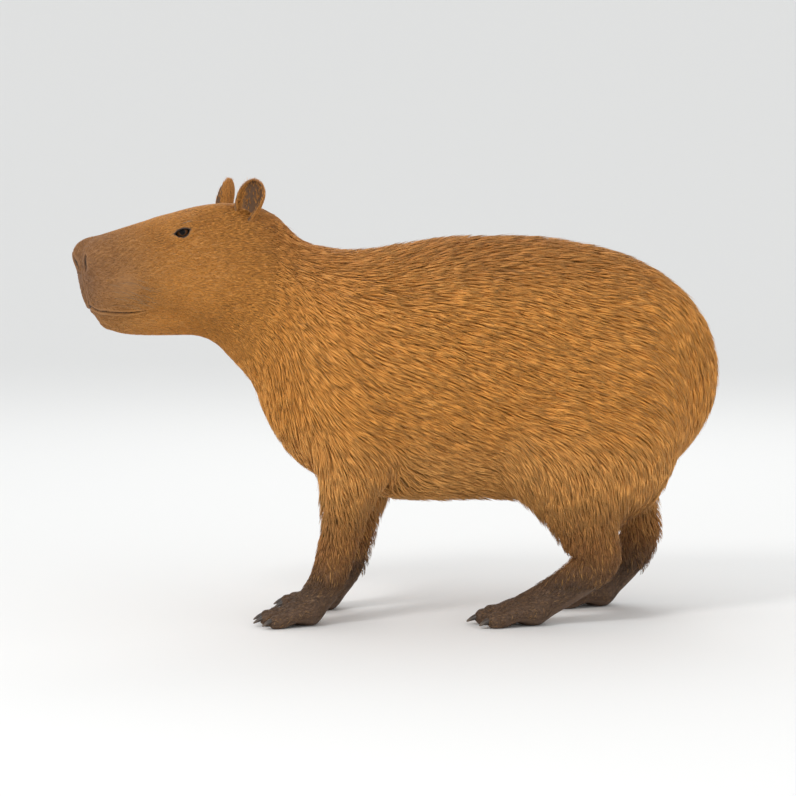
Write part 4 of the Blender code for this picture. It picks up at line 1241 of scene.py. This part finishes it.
x, y, z = middles.T
is_ear = on_ear(middles)
is_cup = is_ear & (facing @ HEAD_FORWARD > 0.3)
sparse = np.random.default_rng(2).random(len(areas)) < CUP_HAIRY
is_head = (behind_head(middles.T) < 0.01) & (z > HEAD_BASE) & ~is_ear
is_foot = z < FOOT_TOP
is_leg = (z < LEG_TOP) & ~is_foot
is_body = ~(is_ear | is_head | is_foot | is_leg)
past_neck = (x - NECK_END[0]) * NECK_END_WAY[0] + (z - NECK_END[1]) * NECK_END_WAY[1]
is_neck = (past_neck < 0) & is_body
is_trunk = is_body & ~is_neck
ZONES = {
    "coat_ears": is_ear & (~is_cup | sparse),
    "coat_head": is_head,
    "coat_neck": is_neck,
    "coat_feet": is_foot & (facing[:, 2] > -0.5),
}
for word, half in (("left", y < 0), ("right", ~(y < 0))):
    ZONES["coat_foreleg_" + word] = is_leg & half & (x < LEGS_PART)
    ZONES["coat_hindleg_" + word] = is_leg & half & (x >= LEGS_PART)
    ZONES["coat_shoulder_" + word] = is_trunk & half & (x < FLANK_FROM)
    ZONES["coat_flank_" + word] = is_trunk & half & (x >= FLANK_FROM) & (x < FLANK_TO)
    ZONES["coat_rump_" + word] = is_trunk & half & (x >= FLANK_TO)
print({name: round(float(areas[mask].sum()) * 1e4) for name, mask in ZONES.items()}, "cm2")

# %% [markdown]
# ## One tuft of hair
#
# Single hairs are too thin and too many to model, and strands of Blender's hair system would
# not be mesh. A tuft of some dozen hairs reads the same: a thin closed blade, widest near its
# root, with a ridge along its top. It starts just under the skin and steps along the lie, and
# each step is set back at its height over the skin by the field. The tips of neighbours lean
# to a shared point, which gathers them into the locks that coarse hair forms.

# %% Roots and paths
ROOT_DEPTH = 0.0015
LARGEST_SET_BACK, LONGEST_LEAN = 0.01, 0.022
# A share just under 1, so that the last point still falls on the last triangle
ALMOST_ALL = 0.99999


def scattered(mask, count, random):
    """Points spread over the chosen triangles by area, with their outward directions."""
    chosen = np.flatnonzero(mask)
    total = np.cumsum(areas[chosen])
    share = (np.arange(count) + random.random(count)) / count
    pick = chosen[np.searchsorted(total, share * total[-1] * ALMOST_ALL)]
    a, b = random.random((2, count, 1))
    flip = a + b > 1
    a, b = np.where(flip, 1 - a, a), np.where(flip, 1 - b, b)
    c = corners[pick]
    return c[:, 0] + a * (c[:, 1] - c[:, 0]) + b * (c[:, 2] - c[:, 0]), facing[pick]


def tuft_path(lie_of, roots, out, length, rise, turn, stations):
    """Points, outward and sideways directions at each station of the tufts.

    Each step goes along the lie by its share of the length. The height over the skin is rise
    times 1 less the power 1.5 of what is left of the tuft.
    """
    way = laid(lie_of(roots), out, turn)
    path = [(roots - out * ROOT_DEPTH, out, np.cross(out, way))]
    at = roots
    for before, now in zip(stations, stations[1:]):
        at = at + way * (length * (now - before))[:, None]
        if lie_of is lie:
            off, out = slopes(flesh_field, at)
            at = at - out * np.clip(off, -LARGEST_SET_BACK, LARGEST_SET_BACK)[:, None]
            way = laid(lie_of(at), out, turn)
        height = rise * (1 - (1 - now) ** 1.5)
        path.append((at + out * height[:, None], out, np.cross(out, way)))
    return path


def gathered(path, roots, stations, amount, spacing, random):
    """Leans the tips to those of chosen tufts nearby, and gives each tuft its lock's number.

    The lean is amount times the way to the chosen tip, times the power 1.6 of the station.
    """
    picked = random.permutation(len(roots))[: max(1, len(roots) // spacing)]
    tree = KDTree(len(picked))
    for i, index in enumerate(picked):
        tree.insert(roots[index], i)
    tree.balance()
    lock = np.array([tree.find(root)[1] for root in roots])
    pull = path[-1][0][picked][lock] - path[-1][0]
    far = np.linalg.norm(pull, axis=1)
    pull = pull * (np.minimum(1, LONGEST_LEAN / np.maximum(far, SMALL)) * amount)[:, None]
    return [(at + pull * now**1.6, out, side) for (at, out, side), now in zip(path, stations)], lock


_, flank_out = slopes(flesh_field, flank)
print("laid along the skin it points", np.round(laid(lie(flank), flank_out, 0.0)[0], 2))

# %% Mesh of the tufts
# Places of a ring's three points across and out, in half widths
RING = ((1, -0.15), (-1, -0.15), (0, 0.65))
RING_SIZES = (1.0, 0.78)
TUFT_FLOOR = 0.0004


def tuft_faces(rings):
    """Triangles of one tuft: a fan from the root, bands between its rings, a fan to the tip."""
    tip, pairs = 3 * rings + 1, ((0, 2), (2, 1), (1, 0))
    faces = [(0, 1 + j, 1 + i) for i, j in pairs] + [(tip - 3 + i, tip - 3 + j, tip) for i, j in pairs]
    for a in range(1, 3 * rings - 2, 3):
        for i, j in pairs:
            faces += [(a + i, a + j, a + 3 + j), (a + i, a + 3 + j, a + 3 + i)]
    return np.array(faces)


def tuft_arrays(path, width, shade, stations):
    """Points, triangles and stored values of closed tufts: a root, rings of three, and a tip."""
    count, rings = len(width), len(stations) - 2
    places, values = [path[0][0]], [(0, 0)]
    for k in range(rings):
        at, out, side = path[k + 1]
        half = width * RING_SIZES[k] / 2
        for across, lift in RING:
            places.append(at + side * (half * across)[:, None] + out * (half * lift)[:, None])
            values.append((stations[k + 1], across))
    places.append(path[-1][0])
    values.append((1, 0))
    values = np.dstack([np.tile(values, (count, 1, 1)), np.repeat(shade[:, None], len(values), 1)])
    faces = tuft_faces(rings)[None] + (np.arange(count) * (3 * rings + 2))[:, None, None]
    places = np.stack(places, 1).reshape(-1, 3)
    places[:, 2] = np.maximum(places[:, 2], TUFT_FLOOR)
    return places, faces.reshape(-1, 3), values.reshape(-1, 3)


print("triangles of a short and of a long tuft:", len(tuft_faces(1)), len(tuft_faces(2)))

# %% Bake map and pieces of coat
UV_EDGE, UV_PATCH = 0.02, 0.003


def bake_map(mesh, faces, flat, values):
    """UV map where each tuft is a small patch at its root's place on the skin laid flat."""
    low, high = flat.min(0), flat.max(0)
    uv = UV_EDGE + (1 - 2 * UV_EDGE) * (flat - low) / (high - low)
    uv = uv + UV_PATCH * (values[:, 1::-1] * (0.5, 1) - (0, 0.5))
    corner_uv = uv[faces.ravel()].astype(np.float32).ravel()
    mesh.uv_layers.new(name="OFBake").data.foreach_set("uv", corner_uv)


def as_object(name, points, faces):
    """Piece of coat from whole arrays of points and triangles."""
    mesh = bpy.data.meshes.new(name)
    points = np.asarray(points, np.float32) - SHIFT.astype(np.float32)
    faces = np.asarray(faces, np.int32)
    mesh.vertices.add(len(points))
    mesh.vertices.foreach_set("co", points.ravel())
    mesh.loops.add(faces.size)
    mesh.loops.foreach_set("vertex_index", faces.ravel())
    mesh.polygons.add(len(faces))
    mesh.polygons.foreach_set("loop_start", np.arange(0, faces.size, 3, dtype=np.int32))
    mesh.update(calc_edges=True)
    return placed(name, mesh)


print("the bake map holds", round((1 - 2 * UV_EDGE) / UV_PATCH), "patches from edge to edge")

# %% [markdown]
# ## The coat
#
# Long guard hair lies over a shorter, denser layer, with a few stiff hairs that stand out.
# Each hair is dark at its root and pale at its tip, and no two are alike. One colour for all
# would look like cloth, so each tuft carries how far along and across it a point is, and a
# shade of its own, and the finish reads all three.

# %% Hair finish
HAIR_ROOT = (0.090, 0.038, 0.014)
HAIR_TIP = (0.90, 0.53, 0.19)
DARK_TUFT = (0.170, 0.075, 0.027)
WARM_TUFT = (0.86, 0.44, 0.12)
DARK_STRAND = (0.15, 0.065, 0.024)


def hair_finish(name, pale, warm):
    """Dark root, golden middle and pale tip, with a darker or warmer mix by the tuft's shade."""
    finish = Finish(name, roughness=0.5, Specular_IOR_Level=0.35)
    along, across, shade = finish.apart(finish.attribute("hair"))
    place = finish.vector(across * 2.2 + shade * 40, along * 1.6, shade * 17)
    strands = finish.noise(place, 1.0, 2, 0.6)
    base = markings(finish)
    colour = finish.mix(0.50, base, HAIR_ROOT)
    colour = finish.mix(finish.smooth(along, 0.05, 0.50), colour, base)
    colour = finish.mix(finish.smooth(along, 0.70, 1.0) * pale, colour, HAIR_TIP)
    colour = finish.mix(finish.smooth(shade, 0.32, 0.05) * 0.55, colour, DARK_TUFT)
    colour = finish.mix(finish.smooth(shade, 0.66, 0.98) * warm, colour, WARM_TUFT)
    colour = finish.mix(finish.smooth(strands, 0.45, 0.80) * 0.28, colour, DARK_STRAND)
    return finish.paint(colour, None, strands, 0.35, 0.0006)


long_hair = hair_finish("long_hair", 0.34, 0.50)
short_hair = hair_finish("short_hair", 0.25, 0.35)

# %% Sizes and layers of the hair
# Length, width and rise where the coat is shortest, and what is added where it is longest
HAIR_SIZES = {
    "guard": ((0.016, 0.0015, 0.0024), (0.050, 0.0021, 0.0145)),
    "under": ((0.013, 0.0013, 0.0018), (0.027, 0.0018, 0.0090)),
    "stray": ((0.020, 0.0009, 0.0050), (0.050, 0.0006, 0.0130)),
    "short": ((0.0080, 0.0007, 0.0011), (0.0110, 0.0005, 0.0015)),
    "ear": ((0.0085, 0.0007, 0.0012), (0.0, 0.0, 0.0)),
}
BELLY_RISE = 0.007
LONG, SHORT = (0.0, 0.26, 0.66, 1.0), (0.0, 0.32, 1.0)
# Tufts in the zone, stations, kind of hair, gathering, tufts to a lock
SHORT_COATS = {
    "coat_ears": (4400, SHORT, "ear", 0.0, 8),
    "coat_head": (33000, SHORT, "short", 0.25, 8),
    "coat_feet": (12000, SHORT, "short", 0.25, 8),
}
# The same with tufts to a square metre
LEG_COAT = ((85e3, SHORT, "under", 0.35, 10), (45e3, LONG, "guard", 0.40, 12))
BODY_COAT = (
    (86e3, SHORT, "under", 0.36, 10),
    (54e3, LONG, "guard", 0.42, 12),
    (5e3, LONG, "stray", 0.0, 2),
)


def long_share(p):
    """1 where the coat is long, 0 on head, lower legs and feet."""
    return ramp(behind_head(p.T), -0.02, 0.15) * ramp(p[:, 2], 0.09, 0.30)


def short_share(p):
    """0 at the muzzle and the toes, rising up the head and up the leg."""
    head = p[:, 2] > HEAD_BASE
    return np.where(head, ramp(0.24 - in_head(p)[:, 0], 0, 0.30), ramp(p[:, 2], 0.03, 0.20))


def hair_sizes(p, kind):
    """Length, width and rise of tufts: the least sizes plus the share of what is added."""
    share = short_share(p) if kind == "short" else long_share(p)
    length, width, rise = [least + added * share for least, added in zip(*HAIR_SIZES[kind])]
    if kind == "guard":
        under = ramp(0.31 - p[:, 2], 0, 0.05) * ramp(0.11 - np.abs(p[:, 1]), 0, 0.03)
        rise = rise + BELLY_RISE * (under * ramp(p[:, 0], -0.12, -0.06))
    return length, width, rise


def layers_of(name):
    """Layers of a zone, with a number of tufts each: as given, or by the zone's area."""
    if name in SHORT_COATS:
        return [SHORT_COATS[name]]
    area = float(areas[ZONES[name]].sum())
    return [(int(dense * area), *rest) for dense, *rest in (LEG_COAT if "leg" in name else BODY_COAT)]


for kind, (least, added) in HAIR_SIZES.items():
    print(kind, "hair is", least[0], "to", round(least[0] + added[0], 4), "m long")

# %% Grow the coat
SIZES_VARY = (0.72, 1.22)
WAVE_TURN, OWN_TURN = 0.16, 0.10
LOCK_SHADE = 0.28
BARE_ROOT, BARE_TIP = 0.35, 0.40


def layer(name, random, count, stations, kind, amount, spacing):
    """One layer of tufts in a zone: points, triangles, stored values and flat places."""
    roots, out = scattered(ZONES[name], count, random)
    keep = bareness(roots) < BARE_ROOT
    roots, out = roots[keep], out[keep]
    length, width, rise = hair_sizes(roots, kind)
    vary = random.uniform(*SIZES_VARY, (3, len(roots)))
    turn = WAVE_TURN * waves(roots, 5) + random.normal(0, OWN_TURN, len(roots))
    lie_of = ear_lie if kind == "ear" else lie
    path = tuft_path(lie_of, roots, out, length * vary[0], rise * vary[1], turn, stations)
    if name == "coat_head":
        clear = bareness(path[-1][0]) < BARE_TIP
        path = [[part[clear] for part in station] for station in path]
        roots, width, vary = roots[clear], width[clear], vary[:, clear]
    path, lock = gathered(path, roots, stations, amount, spacing, random)
    shade = LOCK_SHADE * random.random(lock.max() + 1)[lock]
    shade = shade + (1 - LOCK_SHADE) * random.random(len(roots))
    places, faces, values = tuft_arrays(path, width * vary[2], shade, stations)
    flat = np.repeat(np.stack(unwrapped(roots), 1), len(places) // len(roots), axis=0)
    return places, faces, values, flat


def grown(name, seed):
    """One piece of coat with all its layers; gives its number of triangles."""
    random = np.random.default_rng(seed)
    parts, start = [], 0
    for numbers in layers_of(name):
        places, faces, values, flat = layer(name, random, *numbers)
        parts.append((places, faces + start, values, flat))
        start += len(places)
    places, faces, values, flat = [np.vstack(part) for part in zip(*parts)]
    piece = as_object(name, places, faces)
    stored(piece.data, "hair", values)
    bake_map(piece.data, faces, flat, values)
    piece.data.materials.append(short_hair if name in SHORT_COATS else long_hair)
    print(name, len(faces), "triangles")
    return len(faces)


print("coat:", sum(grown(name, seed) for seed, name in enumerate(ZONES)), "triangles")

# %% [markdown]
# ## Eyes
#
# A capybara's eye is a ball whose front bulges into the cornea, wet and nearly black, with a
# dark brown iris. A plain sphere would look like a bead. This one is a profile turned round
# the way the eye looks, and its points carry where they look, so that pupil and iris stay
# round under the cornea.

# %% Eyes
PUPIL, IRIS = 0.37, 0.73
EYE_ROWS, EYE_AROUND = 22, 40
EYE_FORWARD, CORNEA_RISE, CORNEA_WIDE = 0.0009, 0.075, 0.62
IRIS_DARK, IRIS_BROWN = (0.030, 0.012, 0.005), (0.120, 0.048, 0.016)
PUPIL_BLACK, BALL_BROWN = (0.002, 0.0015, 0.0015), (0.020, 0.011, 0.008)


def eye_finish():
    """A brown iris round a dark pupil, under a wet surface."""
    finish = Finish("eye", roughness=0.07, Specular_IOR_Level=0.20, IOR=1.38)
    x, y, _ = finish.apart(finish.attribute("gaze"))
    off = (x * x + y * y) ** 0.5
    rays = finish.noise(finish.vector(x * 5, y * 5, off * 2), 6, 3, 0.7)
    colour = finish.mix(rays, IRIS_DARK, IRIS_BROWN)
    pupil = finish.smooth(off, PUPIL + 0.03, PUPIL - 0.03)
    colour = finish.mix(pupil, colour, PUPIL_BLACK)
    rim = finish.smooth(off, IRIS - 0.07, IRIS + 0.07)
    return finish.paint(finish.mix(rim, colour, BALL_BROWN))


def eye_ball(side, word, paint):
    """A ball in rings round the way the eye looks, its radius raised by a bell at the front."""
    angle = np.linspace(0.06, np.pi - 0.06, EYE_ROWS)[:, None]
    turn = np.linspace(0, 2 * np.pi, EYE_AROUND, endpoint=False)[None, :]
    radius = EYE_RADIUS * (0.985 + CORNEA_RISE * bell(angle, 0, CORNEA_WIDE))
    x, y, out = np.sin(angle) * np.cos(turn), np.sin(angle) * np.sin(turn), np.cos(angle) + 0 * turn
    grid = x[..., None] * LID_ALONG + y[..., None] * LID_RISE + out[..., None] * LID_OUT
    grid = (np.array(EYE_AT) + LID_OUT * EYE_FORWARD + grid * radius[..., None]) * (1, side, 1)
    points, faces = closed_grid(from_head(*np.moveaxis(grid, -1, 0)))
    piece = from_lists("eyeball_" + word, points, faces, "eye")
    poles = np.array([(0, 0, 1), (0, 0, -1)])
    stored(piece.data, "gaze", np.vstack([np.stack([x, y, out], -1).reshape(-1, 3), poles]))
    piece.data.materials.append(paint)
    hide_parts("eye_" + word)


wet_eye = eye_finish()
eye_ball(1, "left", wet_eye)
eye_ball(-1, "right", wet_eye)

# %% [markdown]
# ## Claws
#
# The claws are blunt and hoof-like, flatter beneath, with ridges along the horn. A cone with
# a bend would do from afar. Here ovals are carried along a falling path from inside each
# toe's end, and their size follows a curve that rounds the tip off.

# %% Claws
CLAW_ROWS, CLAW_AROUND = 16, 20
CLAW_INSIDE, CLAW_BENEATH, CLAW_ABOVE = 0.004, 0.55, 0.92
# Share along the claw, and height of its middle there
CLAW_HEIGHTS = ((0, 0.40, 0.74, 1.0), (0.0136, 0.0132, 0.0096, 0.0048))
# Length and radius
CLAW_SIZES = {"fore": (0.029, 0.0062), "hind": (0.033, 0.0076)}
HORN_DARK, HORN_BROWN = (0.020, 0.014, 0.011), (0.062, 0.042, 0.030)
HORN_WORN = (0.180, 0.130, 0.088)


def claw_finish():
    """Dark horn, paler and worn at its end, with fine ridges along it."""
    finish = Finish("horn", roughness=0.38)
    along, around, _ = finish.apart(finish.attribute("horn"))
    ridges = finish.noise(finish.vector(along * 2, around * 9, 0.0), 2.0, 3, 0.6)
    colour = finish.mix(ridges, HORN_DARK, HORN_BROWN)
    worn = finish.smooth(along + ridges * 0.2, 0.75, 1.1) * 0.6
    colour = finish.mix(worn, colour, HORN_WORN)
    return finish.paint(colour, 0.34 + ridges * 0.2, ridges, 0.4, 0.0004)


def claw_piece(name, toe, length, radius, paint):
    """One claw: the oval at share t has the radius times the power 0.75 of 1 - t to the 2.3."""
    tip, before = np.array(toe[-1][:3]), np.array(toe[-2][:3])
    ahead = unit((tip - before) * (1, 1, 0))
    across = np.cross(ahead, UP)
    t = np.linspace(0, 1, CLAW_ROWS)
    high = np.interp(t, *CLAW_HEIGHTS)
    high = np.convolve(np.pad(high, 2, mode="edge"), np.ones(5) / 5, mode="valid")
    share = 0.95 * (1 - t**2.3) ** 0.75 + 0.14 * (t < 0.999)
    turn = np.linspace(0, 2 * np.pi, CLAW_AROUND, endpoint=False)
    lift = np.where(np.sin(turn) < 0, CLAW_BENEATH, CLAW_ABOVE) * np.sin(turn)
    oval = np.cos(turn)[:, None] * across + lift[:, None] * UP
    middle = tip * (1, 1, 0) + ahead * (length * t - CLAW_INSIDE)[:, None] + UP * high[:, None]
    points, faces = closed_grid(middle[:, None] + share[:, None, None] * radius * oval)
    piece = from_lists("nail" + name[4:], points, faces, "claw")
    values = np.stack(np.broadcast_arrays(t[:, None], turn[None, :] / (2 * np.pi), 0 * t[:, None]), -1)
    stored(piece.data, "horn", np.vstack([values.reshape(-1, 3), [(0, 0, 0), (1, 0, 0)]]))
    piece.data.materials.append(paint)
    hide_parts(name)


horn = claw_finish()
for side, word in ((-1, "left"), (1, "right")):
    for kind, (length, radius) in CLAW_SIZES.items():
        for i, toe in enumerate(toe_rows(kind, side)):
            claw_piece(f"claw_{kind}_{word}_{i + 1}", toe, length, radius, horn)
print("claws:", 2 * sum(numbers[0] for numbers in FEET.values()))

# %% [markdown]
# ## Whiskers
#
# Stiff bristles stand in four rows on the upper lip, and three over each eye. Curves with a
# bevel would have to be turned into mesh. The mesh of the tufts serves just as well: a
# whisker is a long thin tuft that droops under its own weight.

# %% Whiskers and lashes
WHISKER_WIDTH, WHISKER_DROOP = 0.0011, 0.25
WHISKER_LENGTHS, WHISKERS_VARY = (0.026, 0.058), (0.85, 1.15)
LIP_WAY, BROW_WAY, LOOSE = (-0.80, 0.60, -0.12), (-0.60, 0.60, 0.50), 0.10
BRISTLE = (0.0, 0.33, 0.68, 1.0)
BROW_PLACES = np.array([(0.004, 0, 0.0125), (-0.001, 0, 0.0135), (-0.006, 0, 0.0130)])
BROW_LENGTHS, BROW_OUT = [0.026, 0.030, 0.024], 0.011
# Distance forward of the first bristle, height of the lowest row, and the gaps between them
LIP_FIRST, LIP_LOWEST, LIP_GAPS, LIP_UNEVEN = 0.244, -0.058, (0.011, 0.012), 0.002
LIP_ROWS, LIP_COLUMNS = 4, 5
WHISKER_ROOT, WHISKER_TIP = (0.030, 0.020, 0.014), (0.35, 0.24, 0.13)


def bristle(root, way, length):
    """Paths from the roots along their ways, less the droop times length times share squared."""
    out = unit(np.cross(way, np.cross(HEAD_UP, way)))
    side = np.cross(out, way)
    path = []
    for share in BRISTLE:
        droop = UP * (WHISKER_DROOP * length * share * share)[:, None]
        path.append((root + way * (length * share)[:, None] - droop, out, side))
    return path


def whisker_finish():
    """Dark at the root and paler towards the tip, some bristles paler than others."""
    finish = Finish("whisker", roughness=0.4)
    along, _, shade = finish.apart(finish.attribute("hair"))
    return finish.paint(finish.mix(along * 0.7 + shade * 0.3, WHISKER_ROOT, WHISKER_TIP))


def whiskers():
    """Bristles on both sides of the upper lip and above each eye."""
    random = np.random.default_rng(11)
    rows = []
    for line in range(LIP_ROWS):
        for column in range(LIP_COLUMNS):
            forward = LIP_FIRST - LIP_GAPS[0] * column + random.uniform(-LIP_UNEVEN, LIP_UNEVEN)
            rows.append((forward, LIP_LOWEST + LIP_GAPS[1] * line))
    lip, brow = side_points(rows), np.array(EYE_AT) + LID_OUT * BROW_OUT + BROW_PLACES
    at = np.vstack([lip, brow])
    way = np.array([LIP_WAY] * len(lip) + [BROW_WAY] * len(brow))
    way = unit(way + random.normal(0, LOOSE, way.shape))
    length = np.concatenate([random.uniform(*WHISKER_LENGTHS, len(lip)), BROW_LENGTHS])
    parts, start = [], 0
    for side in (1, -1):
        flip = (1, side, 1)
        long = length * random.uniform(*WHISKERS_VARY, len(at))
        path = bristle(from_head(*(at * flip).T), (way * flip) @ HEAD_AXES, long)
        width, shade = np.full(len(at), WHISKER_WIDTH), random.random(len(at))
        places, faces, values = tuft_arrays(path, width, shade, BRISTLE)
        parts.append((places, faces + start, values))
        start += len(places)
    points, faces, values = [np.vstack(part) for part in zip(*parts)]
    piece = as_object("whiskers", points, faces)
    stored(piece.data, "hair", values)
    piece.data.materials.append(whisker_finish())
    print("whiskers:", 2 * len(at))


whiskers()

# %% [markdown]
# ## Floor, light and camera
#
# The picture shows the whole animal from its left, on white, at the height of its shoulder.
# A sky would colour the coat, so there is a plain pale floor, which curves up to a low wall
# all round, three large soft lights as in a studio, and a camera far off with a long lens.

# %% Studio
FLOOR_RADIUS, WALL_RADIUS, WALL_BEND, FLOOR_SIDES = 6.0, 9.0, 52, 96
LOOK_AT = Vector((0, 0, 0.35))
# Name, place, size in metres, power in watts
LIGHTS = (
    ("key", (-2.4, -3.0, 3.4), 1.0, 78),
    ("fill", (2.8, -2.8, 1.8), 2.6, 14),
    ("rim", (0.6, 3.0, 3.0), 2.2, 26),
)


def floor_piece():
    """A disc that bends up along a circle at its edge, left open at the top."""
    bend = np.radians(np.linspace(0, WALL_BEND, 17))
    radius = np.concatenate([[0.001, FLOOR_RADIUS / 2], FLOOR_RADIUS + WALL_RADIUS * np.sin(bend)])
    height = np.concatenate([[0, 0], WALL_RADIUS * (1 - np.cos(bend))])
    turn = np.linspace(0, 2 * np.pi, FLOOR_SIDES, endpoint=False)
    level = np.tile(height[:, None], FLOOR_SIDES)
    ring = np.stack([np.outer(radius, np.cos(turn)), np.outer(radius, np.sin(turn)), level], -1)
    points, faces = closed_grid(ring)
    floor = bpy.data.meshes.new("floor")
    floor.from_pydata(points[:-1].tolist(), [], [f[::-1] for f in faces[:-FLOOR_SIDES]])
    floor.shade_smooth()
    stage = bpy.data.objects.new("floor", floor)
    bpy.context.scene.collection.objects.link(stage)
    paint = bpy.data.materials.new("floor_paint")
    paint.use_nodes = True
    shader = paint.node_tree.nodes["Principled BSDF"]
    shader.inputs["Base Color"].default_value = (0.80, 0.80, 0.79, 1)
    shader.inputs["Roughness"].default_value = 0.9
    floor.materials.append(paint)


def lights_and_world():
    """Three area lights that face the animal, and a pale world."""
    for name, place, size, power in LIGHTS:
        light = bpy.data.lights.new(name, "AREA")
        light.size, light.energy = size, power
        lamp = bpy.data.objects.new(name, light)
        lamp.location = place
        lamp.rotation_euler = (LOOK_AT - Vector(place)).to_track_quat("-Z", "Y").to_euler()
        bpy.context.scene.collection.objects.link(lamp)
    world = bpy.data.worlds.new("studio")
    world.use_nodes = True
    world.node_tree.nodes["Background"].inputs["Color"].default_value = (0.98, 0.99, 1.0, 1)
    world.node_tree.nodes["Background"].inputs["Strength"].default_value = 0.94
    bpy.context.scene.world = world


floor_piece()
lights_and_world()
print("lights:", [name for name, *_ in LIGHTS])

# %% Camera
SENSOR = 36


def camera(azimuth, elevation, distance, target, wide):
    """A camera at the given angles and distance; wide is the width seen at the target, in metres."""
    a, e = math.radians(azimuth), math.radians(elevation)
    back = Vector((math.sin(a) * math.cos(e), -math.cos(a) * math.cos(e), math.sin(e)))
    lens = bpy.data.cameras.new("camera")
    lens.sensor_width = SENSOR
    lens.lens = SENSOR * distance / wide
    made = bpy.data.objects.new("camera", lens)
    made.location = Vector(target) + back * distance
    made.rotation_euler = (-back).to_track_quat("-Z", "Y").to_euler()
    bpy.context.scene.collection.objects.link(made)
    bpy.context.scene.camera = made
    print("lens of", round(lens.lens), "mm")


camera(azimuth=-3, elevation=5, distance=5.0, target=(0.0, 0, 0.375), wide=1.36)
bpy.context.scene.view_settings.view_transform = "Standard"

# %% [markdown]
# ## The coat and the solid model
#
# The coat stands a little past the solid model.
